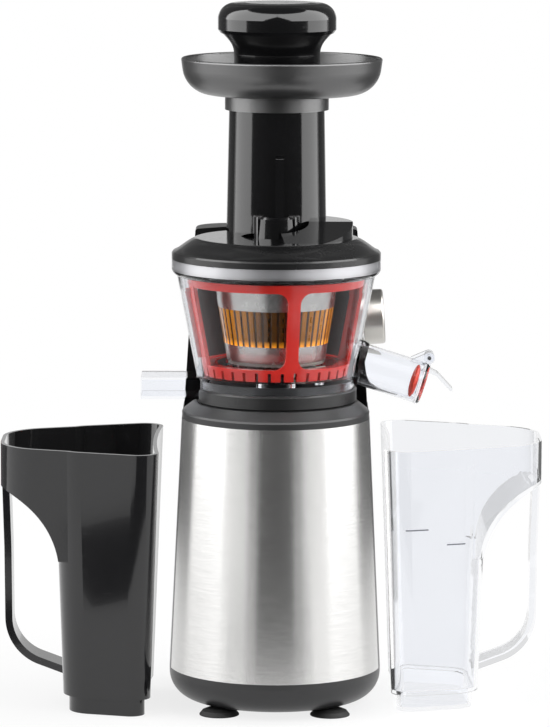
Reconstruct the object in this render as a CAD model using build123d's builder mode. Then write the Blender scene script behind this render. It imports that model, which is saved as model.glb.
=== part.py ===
"""Cold press juicer: motor base, clear juicing bowl, feed lid and two jugs, as separate pieces.

Millimetres, +Z up, front towards -Y. The worktop is Z = 0. Auger, bowl and motor share one
vertical axis, BOWL_AXIS. Heights are measured from the worktop, radii from the bowl axis.
"""
import os
from math import acos, cos, pi, radians, sin, tan

from build123d import *

os.makedirs("parts", exist_ok=True)

# ------------------------------------------------------------------ driving dimensions
AXIS_Y = -8.0  # bowl axis, forward of the middle of the footprint

FOOT_RADIUS = 12.2
FOOT_SPREAD_X = 34.0
FOOT_FRONT_Y = -38.0
FOOT_REAR_Y = 56.0
PAN_BOTTOM = 4.0
PAN_TOP = 24.0
SHOULDER_HEIGHT = 179.5  # top of the steel jacket
TOWER_HEIGHT = 291.0
BASE_RADIUS = 65.4  # at PAN_TOP
SHOULDER_RADIUS = 58.0  # at SHOULDER_HEIGHT
REAR_DEPTH = 84.0  # bowl axis to the back of the machine
REAR_CORNER = 22.0
TOWER_HALF_WIDTH_LOW = 57.4
TOWER_HALF_WIDTH_TOP = 50.6
TOWER_CORNER = 21.0
TOWER_FRONT = 20.0  # bowl axis to the front corners of the tower, less the hollow
TOWER_HOLLOW_RADIUS = 67.5  # concave front of the tower, round the bowl
HOUSING_WALL = 3.0
JACKET_WALL = 1.0
JACKET_HALF_ANGLE = 79.0

COLLAR_RADIUS = 49.8
COLLAR_BOTTOM = 190.0
COLLAR_STEP = 198.6
COLLAR_TOP = 203.9

BOWL_WALL = 2.5
BOWL_LOW = (203.6, 48.6)  # (height, outer radius)
BOWL_HIGH = (268.0, 61.0)
BOWL_FLOOR = 206.5
RIM_RADIUS = 64.3
RIM_BOTTOM = 271.5
RIM_TOP = 278.0

CHUTE_END_X = -83.0
CHUTE_HALF_WIDTH = 14.5
CHUTE_BOTTOM = 192.3
CHUTE_TOP = 205.7
CHUTE_WALL = 1.6
SPOUT_RADIUS = 13.0
SPOUT_WALL = 1.6
SPOUT_SLOPE = 17.5
SPOUT_ROOT = (44.0, 215.3)  # (x, z) on the spout's axis, inside the bowl wall
SPOUT_LENGTH = 46.5

GEAR_MODULE = 2.2
SUN_TEETH = 16
IDLER_TEETH = 10
RING_TEETH = 36
IDLER_ANGLE = -40.0
GEAR_LOW = 207.3
GEAR_HIGH = 212.6

CAGE_LOW = (207.0, 44.4)  # (height, outer radius)
CAGE_HIGH = (265.0, 55.0)
CAGE_TOP = 269.0
CAGE_WALL = 2.2
CAGE_POSTS = 4
CAGE_TURN = -78.0  # angle of the post at the front, a little to the right

STRAINER_LOW = (215.0, 30.2)  # (height, outer radius)
STRAINER_HIGH = (265.0, 38.4)
STRAINER_TOP = 267.5
STRAINER_WALL = 1.6

LID_DECK = 291.0
DECK_RADIUS = 50.0
TUBE_Y = AXIS_Y + 27.0
TUBE_RADIUS_LOW = 31.1
TUBE_RADIUS_TOP = 29.6
TUBE_TOP = 378.0
SLEEVE_BOTTOM = 367.6
SLEEVE_RADIUS = 32.1
TRAY_RADIUS = 62.2
TRAY_BOTTOM = 377.0
TRAY_TOP = 399.5
TRAY_SHIFT_X = 3.0  # the dish is cast off-centre on its sleeve

PUSHER_RADIUS = 26.7
PUSHER_BOTTOM = 303.0
NECK_BOTTOM = 402.0  # where the flared knob sits on the stem
NECK_RADIUS = 34.2
NECK_TOP = 414.8
CAP_RADIUS = 36.6
CAP_TOP = 433.6

DIAL_RADIUS = 17.4
DIAL_HEIGHT = 234.3
DIAL_Y = AXIS_Y + 64.0
DIAL_TILT = 3.6
DIAL_FACE_X = 68.0

JUG_HEIGHT = 166.0
JUG_WALL = 2.4
JUG_STEP = 10.5
JUG_LENGTH = 100.0  # along the spout, from the side next to the machine
JUG_HALF_WIDTH = 72.0
JUG_NOSE_HALF_WIDTH = 36.0
JUG_HOLLOW = 4.0  # depth of the concave side next to the machine
JUG_FOOT_STEP = 3.6
JUG_HANDLE_WIDTH = 24.0
BLACK_JUG_PLACE = (-69.0, AXIS_Y - 5.0)
CLEAR_JUG_PLACE = (64.6, AXIS_Y + 12.0)

RUNNING = 0.05  # radial clearance of a shaft in its bush
BOWL_AXIS = Axis((0, AXIS_Y, 0), (0, 0, 1))
TUBE_AXIS = Axis((0, TUBE_Y, 0), (0, 0, 1))


# ------------------------------------------------------------------ shared helpers
def level(z, x=0.0, y=AXIS_Y):
    """Horizontal work plane at height z, centred on the bowl axis unless told otherwise."""
    return Plane((x, y, z))


def section_plane(x=0.0, y=AXIS_Y):
    """Upright plane whose local x is the distance from an axis at (x, y) and local y is height."""
    return Plane((x, y, 0), x_dir=(1, 0, 0), z_dir=(0, -1, 0))


def section(*points, x=0.0, y=AXIS_Y):
    """Closed outline of (radius, height) points on the upright plane through (x, y)."""
    with BuildSketch(section_plane(x, y)) as drawing:
        with BuildLine():
            Polyline(*points, close=True)
        make_face()
    return drawing.sketch


def disc(z, radius, x=0.0, y=AXIS_Y):
    """Round face at height z."""
    with BuildSketch(level(z, x, y)) as drawing:
        Circle(radius)
    return drawing.sketch


def on_cone(z, low, high):
    """Radius at height z of the cone through two (height, radius) pairs."""
    return low[1] + (high[1] - low[1]) * (z - low[0]) / (high[0] - low[0])


def gear_outline(z, module, teeth, turn, centre=(0.0, AXIS_Y), thicker=-0.1, reach=0.8, depth=1.05):
    """Involute spur gear face, 25 degree pressure angle, one tooth centred on the angle turn."""
    pitch = module * teeth / 2
    base = pitch * cos(radians(25))
    half_tooth = pi / (2 * teeth) + thicker / teeth + tan(radians(25)) - radians(25)

    def half_angle(radius):
        pressure = acos(min(1.0, base / radius))
        return half_tooth - tan(pressure) + pressure

    tip = pitch + reach * module
    root = pitch - depth * module
    flank = [(root, half_angle(max(root, base))), (max(root * 1.01, base), half_angle(max(root, base)))]
    flank += [(radius, half_angle(radius)) for radius in (pitch, (pitch + tip) / 2, tip)]
    points = []
    for tooth in range(teeth):
        middle = radians(turn) + 2 * pi * tooth / teeth
        for radius, angle in flank:
            points.append((radius * cos(middle - angle), radius * sin(middle - angle)))
        for radius, angle in reversed(flank):
            points.append((radius * cos(middle + angle), radius * sin(middle + angle)))
    with BuildSketch(level(z, *centre)) as drawing:
        with BuildLine():
            Polyline(*points, close=True)
        make_face()
    return drawing.sketch


def write(part, name):
    """Label one finished piece and write it as its own STEP file."""
    part.label = name
    export_step(part, f"parts/{name}.step")


# ------------------------------------------------------------------ motor base: shells
def base_outline(z, inset=0.0):
    """Plan of the base at height z: half round in front, square with round corners behind."""
    radius = on_cone(z, (PAN_TOP, BASE_RADIUS), (SHOULDER_HEIGHT, SHOULDER_RADIUS)) - inset
    rear = REAR_DEPTH - inset
    with BuildSketch(level(z)) as drawing:
        Circle(radius)
        with Locations((0, rear / 2)):
            Rectangle(2 * radius, rear)
        fillet(drawing.vertices().group_by(Axis.Y)[-1], REAR_CORNER - inset)
    return drawing.sketch


def tower_form(bottom, top, inset=0.0):
    """Tapering block of the rear tower, shrunk by inset, before its round front is cut."""
    low, high = (SHOULDER_HEIGHT, TOWER_HALF_WIDTH_LOW), (TOWER_HEIGHT, TOWER_HALF_WIDTH_TOP)
    half_low = on_cone(bottom, low, high) - inset
    half_high = on_cone(top, low, high) - inset
    with BuildPart() as form:
        with BuildSketch(section_plane(0, AXIS_Y + REAR_DEPTH - inset)):
            with BuildLine():
                Polyline((-half_low, bottom), (half_low, bottom), (half_high, top), (-half_high, top), close=True)
            make_face()
        extrude(amount=REAR_DEPTH - TOWER_FRONT)
        back_edges = form.faces().sort_by(Axis.Y)[-1].edges().sort_by(Axis.X)
        fillet([back_edges[0], back_edges[-1]], TOWER_CORNER - inset)
    return form.part


with BuildPart() as base_pan:
    extrude(base_outline(PAN_TOP), amount=PAN_BOTTOM - PAN_TOP)
    fillet(base_pan.faces().sort_by(Axis.Z)[0].edges(), 17.0)
    offset(amount=-2.5, openings=base_pan.faces().sort_by(Axis.Z)[-1])
    with BuildSketch(level(PAN_BOTTOM)):
        for slot_y in range(-20, 41, 10):
            with Locations((0, slot_y)):
                SlotOverall(44, 3.6)
    extrude(amount=4, mode=Mode.SUBTRACT)
    with Locations(*[(x, AXIS_Y + y, PAN_BOTTOM) for x in (-46, 46) for y in (-22, 52)]):
        Cylinder(2.1, 12, mode=Mode.SUBTRACT)
write(base_pan.part, "base_pan")

foot_section = section((0, 1.6), (7.0, 1.4), (11.4, 0), (FOOT_RADIUS, 0), (FOOT_RADIUS, 0.6),
                       (10.4, 2.8), (7.6, PAN_BOTTOM), (0, PAN_BOTTOM), x=0, y=0)
with BuildPart() as one_foot:
    revolve(foot_section, axis=Axis.Z)
with BuildPart() as suction_feet:
    with Locations(*[(x, AXIS_Y + y) for x in (-FOOT_SPREAD_X, FOOT_SPREAD_X)
                     for y in (FOOT_FRONT_Y, FOOT_REAR_Y)]):
        add(one_foot.part)
write(suction_feet.part, "suction_feet")


with BuildPart() as bottom_screws:
    for x in (-46, 46):
        for y in (-22, 52):
            with BuildSketch(Plane((x, AXIS_Y + y, PAN_BOTTOM + 0.6))):
                Circle(2.0)
                RegularPolygon(1.1, 6, mode=Mode.SUBTRACT)
            extrude(amount=2.0)
            extrude(disc(PAN_BOTTOM + 2.6, 2.0, x, AXIS_Y + y), amount=14)
write(bottom_screws.part, "bottom_screws")


def jacket_wedge():
    """Prism over the front of the base that bounds the steel jacket to either side."""
    half = radians(JACKET_HALF_ANGLE)
    reach = 3 * BASE_RADIUS
    with BuildPart() as wedge:
        with BuildSketch(level(PAN_TOP)):
            with BuildLine():
                Polyline((0, 0), (-reach * sin(half), -reach * cos(half)),
                         (-reach, -reach), (reach, -reach),
                         (reach * sin(half), -reach * cos(half)), close=True)
            make_face()
        extrude(amount=SHOULDER_HEIGHT - PAN_TOP)
    return wedge.part


with BuildPart() as steel_jacket:
    loft([base_outline(PAN_TOP), base_outline(SHOULDER_HEIGHT)])
    loft([base_outline(PAN_TOP, JACKET_WALL), base_outline(SHOULDER_HEIGHT, JACKET_WALL)],
         mode=Mode.SUBTRACT)
    add(jacket_wedge(), mode=Mode.INTERSECT)
write(steel_jacket.part, "steel_jacket")

TOWER_CAP_BOTTOM = TOWER_HEIGHT - 3.0
LEDGE_WALL = 3.0  # thickness of the ledge under the shoulder cover

DIAL_AXIS = Plane((DIAL_FACE_X, DIAL_Y, DIAL_HEIGHT), x_dir=(0, 1, 0),
                  z_dir=(cos(radians(DIAL_TILT)), 0, sin(radians(DIAL_TILT))))
DIAL_DEPTH = 13.0
BACK_PLANE = Plane((0, AXIS_Y + REAR_DEPTH, 0), x_dir=(-1, 0, 0), z_dir=(0, 1, 0))
GLAND_PLACE = (-18.0, 34.0)  # (x, z) on the back face


def round_front(z, inset, height=130.0):
    """Cylinder round the bowl axis that hollows the front of the tower."""
    with BuildPart() as hollow:
        extrude(disc(z, TOWER_HOLLOW_RADIUS + inset), amount=height)
    return hollow.part


with BuildPart() as tower_cavity:
    add(tower_form(SHOULDER_HEIGHT - 1, TOWER_CAP_BOTTOM + 1, HOUSING_WALL))
    add(round_front(SHOULDER_HEIGHT - 10, HOUSING_WALL), mode=Mode.SUBTRACT)

with BuildPart() as tower_housing:
    add(tower_form(SHOULDER_HEIGHT, TOWER_CAP_BOTTOM))
    add(round_front(SHOULDER_HEIGHT - 1, 0.0), mode=Mode.SUBTRACT)
    add(tower_cavity.part, mode=Mode.SUBTRACT)
    with BuildSketch(DIAL_AXIS.offset(-DIAL_DEPTH - 6)):
        Circle(5.0)
    extrude(amount=12, mode=Mode.SUBTRACT)
write(tower_housing.part, "tower_housing")

with BuildPart() as rear_housing:
    loft([base_outline(PAN_TOP), base_outline(SHOULDER_HEIGHT)])
    loft([base_outline(PAN_TOP, HOUSING_WALL), base_outline(SHOULDER_HEIGHT - LEDGE_WALL, HOUSING_WALL)],
         mode=Mode.SUBTRACT)
    extrude(disc(SHOULDER_HEIGHT - 20, 51.0), amount=25, mode=Mode.SUBTRACT)
    with BuildSketch(level(SHOULDER_HEIGHT - 10)):
        with Locations((0, 76.0)):
            Rectangle(60, 8)
    extrude(amount=12, mode=Mode.SUBTRACT)
    with BuildSketch(BACK_PLANE):
        with Locations((-GLAND_PLACE[0], GLAND_PLACE[1])):
            Circle(5.0)
        with Locations((0, 60)):
            with GridLocations(0, 6, 1, 6):
                SlotOverall(52, 2.6)
    extrude(amount=-8, mode=Mode.SUBTRACT)
    add(steel_jacket.part, mode=Mode.SUBTRACT)
write(rear_housing.part, "rear_housing")

with BuildPart() as tower_cap:
    add(tower_form(TOWER_CAP_BOTTOM, TOWER_HEIGHT))
    extrude(disc(TOWER_CAP_BOTTOM, TOWER_HOLLOW_RADIUS), amount=10, mode=Mode.SUBTRACT)
    fillet(tower_cap.faces().sort_by(Axis.Z)[-1].edges().group_by(Axis.Y)[-1], 1.4)
write(tower_cap.part, "tower_cap")

with BuildPart() as shoulder_cover:
    revolve(section((57.6, SHOULDER_HEIGHT), (57.9, 183.0), (57.2, 184.2), (50.6, 189.4), (49.4, 189.9),
                    (44.0, 189.9), (44.0, 186.9), (48.6, 186.9), (54.6, 182.0), (54.6, SHOULDER_HEIGHT)),
            axis=BOWL_AXIS)
write(shoulder_cover.part, "shoulder_cover")

NOTCH_HALF_WIDTH = CHUTE_HALF_WIDTH + 1.2
with BuildPart() as bowl_collar:
    revolve(section((COLLAR_RADIUS - 0.8, COLLAR_BOTTOM), (COLLAR_RADIUS, COLLAR_BOTTOM + 0.8),
                    (COLLAR_RADIUS, COLLAR_STEP - 1), (COLLAR_RADIUS - 1, COLLAR_STEP), (45.8, COLLAR_STEP),
                    (45.8, COLLAR_TOP), (42.6, COLLAR_TOP), (42.6, COLLAR_BOTTOM), (16.4, COLLAR_BOTTOM),
                    (16.4, 193.5), (13.4, 193.5), (13.4, 184.0), (16.4, 184.0), (16.4, 187.0),
                    (43.9, 187.0), (43.9, COLLAR_BOTTOM)),
            axis=BOWL_AXIS)
    with Locations((-40, AXIS_Y, 191.4)):
        Box(24, 2 * NOTCH_HALF_WIDTH, 20, align=(Align.CENTER, Align.CENTER, Align.MIN), mode=Mode.SUBTRACT)
write(bowl_collar.part, "bowl_collar")

with BuildPart() as cord_gland:
    gland_plane = Plane((GLAND_PLACE[0], AXIS_Y + REAR_DEPTH - 5, GLAND_PLACE[1]), x_dir=(1, 0, 0),
                        z_dir=(0, 1, 0))
    with BuildSketch(gland_plane):
        Circle(4.9)
        Circle(3.2, mode=Mode.SUBTRACT)
    extrude(amount=5)
    with BuildSketch(gland_plane.offset(5)):
        Circle(7.0)
        Circle(3.2, mode=Mode.SUBTRACT)
    extrude(amount=2)
write(cord_gland.part, "cord_gland")

# ------------------------------------------------------------------ motor base: drive train
STAGE_CENTRES = 30.0  # lay shaft behind the motor axis
TRAIN_MODULE = 1.2
MOTOR_PINION_TEETH = 10
LAY_WHEEL_TEETH = 40
LAY_PINION_TEETH = 12
OUTPUT_WHEEL_TEETH = 38
LAY_AXIS = Axis((0, AXIS_Y + STAGE_CENTRES, 0), (0, 0, 1))
LAY_PLACE = (0.0, AXIS_Y + STAGE_CENTRES)
LAY_SIDE = 90.0  # direction from the motor axis to the lay shaft
WHEEL_LOW = 112.0
OUTPUT_LOW = 123.0

with BuildPart() as motor_can:
    revolve(section((38, 30), (38, 96), (34, 100), (6.4, 100), (6.4, 98.4), (33.4, 98.4), (36.4, 95.4),
                    (36.4, 30)), axis=BOWL_AXIS)
write(motor_can.part, "motor_can")

with BuildPart() as motor_end_plate:
    revolve(section((38, 30), (38, 27), (9.5, 27), (9.5, 24), (6.4, 24), (6.4, 30)), axis=BOWL_AXIS)
    with BuildSketch(level(27)):
        with PolarLocations(23, 6):
            Circle(5.5)
    extrude(amount=3, mode=Mode.SUBTRACT)
write(motor_end_plate.part, "motor_end_plate")

with BuildPart() as motor_magnets:
    with BuildSketch(level(44)):
        for turn in (0, 180):
            with BuildLine():
                CenterArc((0, 0), 36.3, turn - 62, 124)
                CenterArc((0, 0), 29.0, turn - 62, 124)
                for side in (-62, 62):
                    edge = radians(turn + side)
                    Line((29.0 * cos(edge), 29.0 * sin(edge)), (36.3 * cos(edge), 36.3 * sin(edge)))
            make_face()
    extrude(amount=38)
write(motor_magnets.part, "motor_magnets")

with BuildPart() as motor_bearings:
    for height in (24.5, 98.4):
        with BuildSketch(level(height)):
            Circle(6.35)
            Circle(4.0 + RUNNING, mode=Mode.SUBTRACT)
        extrude(amount=5.0 if height < 50 else 1.6)
write(motor_bearings.part, "motor_bearings")

with BuildPart() as armature:
    with BuildSketch(level(45)):
        Circle(28.0)
        with PolarLocations(21.5, 12):
            SlotOverall(9, 3.4, mode=Mode.SUBTRACT)
        with PolarLocations(27.4, 12):
            Rectangle(5, 1.6, mode=Mode.SUBTRACT)
        Circle(4.0, mode=Mode.SUBTRACT)
    extrude(amount=36)
write(armature.part, "armature")


with BuildPart() as commutator:
    with BuildSketch(level(84)):
        Circle(9.0)
        with PolarLocations(8.6, 12):
            Rectangle(1.6, 0.6, mode=Mode.SUBTRACT)
        Circle(4.0, mode=Mode.SUBTRACT)
    extrude(amount=10)
write(commutator.part, "commutator")

with BuildPart() as motor_shaft:
    extrude(disc(9.5, 4.0), amount=WHEEL_LOW - 9.5)
    chamfer(motor_shaft.faces().sort_by(Axis.Z)[0].edges(), 0.5)
    extrude(gear_outline(WHEEL_LOW, TRAIN_MODULE, MOTOR_PINION_TEETH, LAY_SIDE), amount=7)
write(motor_shaft.part, "motor_shaft")

with BuildPart() as cooling_fan:
    revolve(section((4.0, 11), (8, 11), (8, 20.5), (4.0, 20.5)), axis=BOWL_AXIS)
    revolve(section((7.9, 11), (33, 11), (33, 12.2), (7.9, 12.2)), axis=BOWL_AXIS)
    with BuildSketch(level(12.1)):
        with PolarLocations(21.0, 9):
            with Locations(Rotation(0, 0, 18)):
                Rectangle(23.0, 1.4)
    extrude(amount=7.5)
write(cooling_fan.part, "cooling_fan")

with BuildPart() as lay_gear:
    with BuildSketch(level(WHEEL_LOW, *LAY_PLACE)):
        add(gear_outline(0, TRAIN_MODULE, LAY_WHEEL_TEETH, -LAY_SIDE + 180 / LAY_WHEEL_TEETH, (0, 0)))
        with PolarLocations(14.0, 5):
            Circle(4.2, mode=Mode.SUBTRACT)
        Circle(3.0 + RUNNING, mode=Mode.SUBTRACT)
    extrude(amount=6)
    with BuildSketch(level(WHEEL_LOW + 6, *LAY_PLACE)):
        add(gear_outline(0, TRAIN_MODULE, LAY_PINION_TEETH, -LAY_SIDE, (0, 0)))
        Circle(3.0 + RUNNING, mode=Mode.SUBTRACT)
    extrude(amount=15)
write(lay_gear.part, "lay_gear")

with BuildPart() as lay_pin:
    extrude(disc(107.0, 3.0, *LAY_PLACE), amount=31)
write(lay_pin.part, "lay_pin")

with BuildPart() as output_wheel:
    with BuildSketch(level(OUTPUT_LOW)):
        add(gear_outline(0, TRAIN_MODULE, OUTPUT_WHEEL_TEETH, LAY_SIDE + 180 / OUTPUT_WHEEL_TEETH, (0, 0)))
        with PolarLocations(14.5, 5):
            Circle(3.6, mode=Mode.SUBTRACT)
        Circle(6.0, mode=Mode.SUBTRACT)
    extrude(amount=9)
write(output_wheel.part, "output_wheel")

with BuildPart() as output_shaft:
    extrude(disc(121.0, 6.0), amount=67)
    chamfer(output_shaft.edges().filter_by(GeomType.CIRCLE), 0.5)
write(output_shaft.part, "output_shaft")

HEX_RADIUS = 6.8  # across corners / 2 of the auger's drive
COUPLING_LOW = 188.0
COUPLING_TOP = 195.6
with BuildPart() as drive_coupling:
    with BuildSketch(level(COUPLING_LOW)):
        Circle(12.2)
    extrude(amount=2.5)
    with BuildSketch(level(COUPLING_LOW + 2.5)):
        Circle(12.2)
        RegularPolygon(HEX_RADIUS + 0.25, 6, mode=Mode.SUBTRACT)
    extrude(amount=COUPLING_TOP - COUPLING_LOW - 2.5)
    chamfer(drive_coupling.faces().sort_by(Axis.Z)[-1].outer_wire().edges(), 1.0)
write(drive_coupling.part, "drive_coupling")


def gearbox_outline(z, radius):
    """Oblong plan of the gearbox round the motor axis and the lay shaft."""
    with BuildSketch(level(z)) as drawing:
        with BuildLine():
            Line((-radius, 0), (-radius, STAGE_CENTRES))
            RadiusArc((-radius, STAGE_CENTRES), (radius, STAGE_CENTRES), radius)
            Line((radius, STAGE_CENTRES), (radius, 0))
            RadiusArc((radius, 0), (-radius, 0), radius)
        make_face()
    return drawing.sketch


GEARBOX_RADIUS = 30.0
with BuildPart() as gearbox_case:
    extrude(gearbox_outline(104, GEARBOX_RADIUS), amount=32)
    extrude(gearbox_outline(108, GEARBOX_RADIUS - 2.5), amount=28, mode=Mode.SUBTRACT)
    extrude(disc(103, 7.0), amount=6, mode=Mode.SUBTRACT)
    extrude(disc(103, 3.0, *LAY_PLACE), amount=6, mode=Mode.SUBTRACT)
write(gearbox_case.part, "gearbox_case")

with BuildPart() as gearbox_lid:
    extrude(gearbox_outline(136, GEARBOX_RADIUS), amount=4)
    extrude(disc(140, 16.0), amount=12)
    extrude(disc(130, 10.0), amount=30, mode=Mode.SUBTRACT)
    extrude(disc(135, 3.0, *LAY_PLACE), amount=3, mode=Mode.SUBTRACT)
write(gearbox_lid.part, "gearbox_lid")

with BuildPart() as output_bearing:
    with BuildSketch(level(143)):
        Circle(10.0)
        Circle(6.0 + RUNNING, mode=Mode.SUBTRACT)
    extrude(amount=8)
    fillet(output_bearing.edges().filter_by(GeomType.CIRCLE).group_by(Axis.Z)[-1], 0.4)
write(output_bearing.part, "output_bearing")

with BuildPart() as motor_frame:
    with BuildSketch(level(100)):
        with Locations((0, 12)):
            RectangleRounded(84, 66, 12)
        Circle(20.0, mode=Mode.SUBTRACT)
        with PolarLocations(28.0, 8, start_angle=22.5):
            Circle(4.0, mode=Mode.SUBTRACT)
    extrude(amount=4)
    with BuildSketch(level(104)):
        with Locations((-37.5, 0), (37.5, 0), (-37.5, 24), (37.5, 24)):
            Circle(3.4)
    extrude(amount=72.4)
write(motor_frame.part, "motor_frame")

with BuildPart() as control_board:
    with BuildSketch(Plane((0, AXIS_Y + REAR_DEPTH - 9, 92), x_dir=(1, 0, 0), z_dir=(0, -1, 0))):
        Rectangle(70, 52)
        with GridLocations(62, 44, 2, 2):
            Circle(1.6, mode=Mode.SUBTRACT)
    extrude(amount=1.6)
    with BuildSketch(Plane((0, AXIS_Y + REAR_DEPTH - 10.6, 92), x_dir=(1, 0, 0), z_dir=(0, -1, 0))):
        with Locations((-22, 12), (-22, -8)):
            Rectangle(14, 12)
        with Locations((20, -12)):
            Circle(5.5)
    extrude(amount=5)
write(control_board.part, "control_board")

with BuildPart() as switch_body:
    with BuildSketch(DIAL_AXIS.offset(-DIAL_DEPTH - 14)):
        RectangleRounded(14, 22, 3)
    extrude(amount=7.4)
    with BuildSketch(DIAL_AXIS.offset(-DIAL_DEPTH - 9)):
        Circle(3.0 + RUNNING)
    extrude(amount=8, mode=Mode.SUBTRACT)
write(switch_body.part, "switch_body")

# ------------------------------------------------------------------ power dial
with BuildPart() as power_dial:
    with BuildSketch(DIAL_AXIS.offset(-DIAL_DEPTH)):
        Circle(DIAL_RADIUS)
    extrude(amount=DIAL_DEPTH, taper=1.0)
    fillet(power_dial.faces().sort_by(Axis.X)[-1].edges(), 1.6)
    with BuildSketch(DIAL_AXIS.offset(-1.2)):
        SlotOverall(2 * DIAL_RADIUS - 8, 2.4)
    extrude(amount=4, mode=Mode.SUBTRACT)
    with BuildSketch(DIAL_AXIS.offset(-DIAL_DEPTH)):
        Circle(14.6)
        Circle(5.6, mode=Mode.SUBTRACT)
    extrude(amount=9, mode=Mode.SUBTRACT)
    with BuildSketch(DIAL_AXIS.offset(-DIAL_DEPTH)):
        Circle(3.0)
    extrude(amount=7, mode=Mode.SUBTRACT)
write(power_dial.part, "power_dial")

with BuildPart() as dial_shaft:
    with BuildSketch(DIAL_AXIS.offset(-DIAL_DEPTH - 8.8)):
        Circle(3.0)
    extrude(amount=15.8)
write(dial_shaft.part, "dial_shaft")

# ------------------------------------------------------------------ juicing bowl
SPOUT_PLANE = Plane((SPOUT_ROOT[0], AXIS_Y, SPOUT_ROOT[1]), x_dir=(0, 1, 0),
                    z_dir=(cos(radians(SPOUT_SLOPE)), 0, -sin(radians(SPOUT_SLOPE))))
HINGE_OUT = 1.0  # hinge axis beyond the spout's end face
HINGE_UP = 17.0  # and above the spout's axis
PULP_PORT_X = -28.0
IDLER_RADIUS = GEAR_MODULE * (SUN_TEETH + IDLER_TEETH) / 2  # from the bowl axis to the idler
IDLER_PLACE = (IDLER_RADIUS * cos(radians(IDLER_ANGLE)), AXIS_Y + IDLER_RADIUS * sin(radians(IDLER_ANGLE)))


def spout_side_plane(shift=0.0):
    """Upright plane along the spout: origin at its end, local x along it, local y square to it."""
    slope = radians(SPOUT_SLOPE)
    end = (SPOUT_ROOT[0] + SPOUT_LENGTH * cos(slope), AXIS_Y - shift, SPOUT_ROOT[1] - SPOUT_LENGTH * sin(slope))
    return Plane(end, x_dir=(cos(slope), 0, -sin(slope)), z_dir=(0, -1, 0))



def bowl_wall_outer(z):
    return on_cone(z, BOWL_LOW, BOWL_HIGH)


with BuildPart() as spout_bore:
    with BuildSketch(SPOUT_PLANE):
        Circle(SPOUT_RADIUS - SPOUT_WALL)
    extrude(amount=SPOUT_LENGTH + 5)
    with Locations((0, AXIS_Y, BOWL_FLOOR)):
        Box(2 * 50.2, 100, 60, align=(Align.CENTER, Align.CENTER, Align.MAX), mode=Mode.SUBTRACT)

with BuildPart() as spout_body:
    with BuildSketch(SPOUT_PLANE):
        Circle(SPOUT_RADIUS)
    extrude(amount=SPOUT_LENGTH)
    with BuildSketch(SPOUT_PLANE.offset(4)):
        Circle(SPOUT_RADIUS + 2.2)
    extrude(amount=6.0, taper=14)
    extrude(disc(190.0, 47.0), amount=14.4, mode=Mode.SUBTRACT)

with BuildPart() as juice_bowl:
    with BuildSketch(section_plane()):
        with BuildLine():
            Polyline((46.1, 199.0), (48.6, 199.0), BOWL_LOW[::-1], BOWL_HIGH[::-1])
            RadiusArc(BOWL_HIGH[::-1], (RIM_RADIUS, RIM_BOTTOM), -4.8)
            Polyline((RIM_RADIUS, RIM_BOTTOM), (RIM_RADIUS, RIM_TOP), (61.6, RIM_TOP), (61.6, 272.6),
                     (59.5, 271.2), (bowl_wall_outer(260.0) - 2.55, 260.0),
                     (bowl_wall_outer(BOWL_FLOOR) - 2.55, BOWL_FLOOR), (9.0 + RUNNING, BOWL_FLOOR),
                     (9.0 + RUNNING, 199.4), (12.0, 199.4), (12.0, 204.0), (46.1, 204.0), (46.1, 199.0))
        make_face()
    revolve(axis=BOWL_AXIS)
    add(spout_body.part)
    revolve(section((0, BOWL_FLOOR), (bowl_wall_outer(BOWL_FLOOR) - 2.55, BOWL_FLOOR),
                    (bowl_wall_outer(260.0) - 2.55, 260.0), (0, 260.0)), axis=BOWL_AXIS, mode=Mode.SUBTRACT)
    with Locations((CHUTE_END_X, AXIS_Y, CHUTE_BOTTOM)):
        Box(-20.0 - CHUTE_END_X, 2 * CHUTE_HALF_WIDTH, CHUTE_TOP - CHUTE_BOTTOM,
            align=(Align.MIN, Align.CENTER, Align.MIN))
    with BuildSketch(level(BOWL_FLOOR - 1)):
        with BuildLine():
            for radius in (20.6, 36.2):
                CenterArc((0, 0), radius, 150, 60)
            for edge in (150, 210):
                Line((20.6 * cos(radians(edge)), 20.6 * sin(radians(edge))),
                     (36.2 * cos(radians(edge)), 36.2 * sin(radians(edge))))
        make_face()
    extrude(amount=214.2 - BOWL_FLOOR + 1)
    with Locations((CHUTE_END_X - 1, AXIS_Y, CHUTE_BOTTOM + CHUTE_WALL)):
        Box(-22.0 - CHUTE_END_X + 1, 2 * (CHUTE_HALF_WIDTH - CHUTE_WALL), CHUTE_TOP - CHUTE_BOTTOM - 2 * CHUTE_WALL,
            align=(Align.MIN, Align.CENTER, Align.MIN), mode=Mode.SUBTRACT)
    with Locations((PULP_PORT_X, AXIS_Y, 198)):
        Box(9, 15, 20, align=(Align.CENTER, Align.CENTER, Align.MIN), mode=Mode.SUBTRACT)
    add(spout_bore.part, mode=Mode.SUBTRACT)
    extrude(disc(204.5, 2.5, *IDLER_PLACE), amount=6, mode=Mode.SUBTRACT)
    for ear in (-7.7, 5.2):
        with BuildSketch(spout_side_plane(ear)):
            with Locations((HINGE_OUT, HINGE_UP)):
                Circle(3.4)
            with Locations((-5.0, 12.4)):
                Rectangle(8, 1)
            make_hull()
            with Locations((HINGE_OUT, HINGE_UP)):
                Circle(1.2, mode=Mode.SUBTRACT)
        extrude(amount=2.5)
write(juice_bowl.part, "juice_bowl")

with BuildPart() as bowl_seal:
    revolve(section((12.05, 200.6), (13.2, 200.6), (15.4, 203.9), (12.05, 203.9)), axis=BOWL_AXIS)
write(bowl_seal.part, "bowl_seal")

with BuildPart() as idler_pin:
    extrude(disc(204.5, 2.5, *IDLER_PLACE), amount=8.6)
write(idler_pin.part, "idler_pin")

with BuildPart() as cap_hinge_pin:
    with BuildSketch(spout_side_plane(-8.2)):
        with Locations((HINGE_OUT, HINGE_UP)):
            Circle(1.2)
    extrude(amount=16.4)
write(cap_hinge_pin.part, "cap_hinge_pin")

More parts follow.
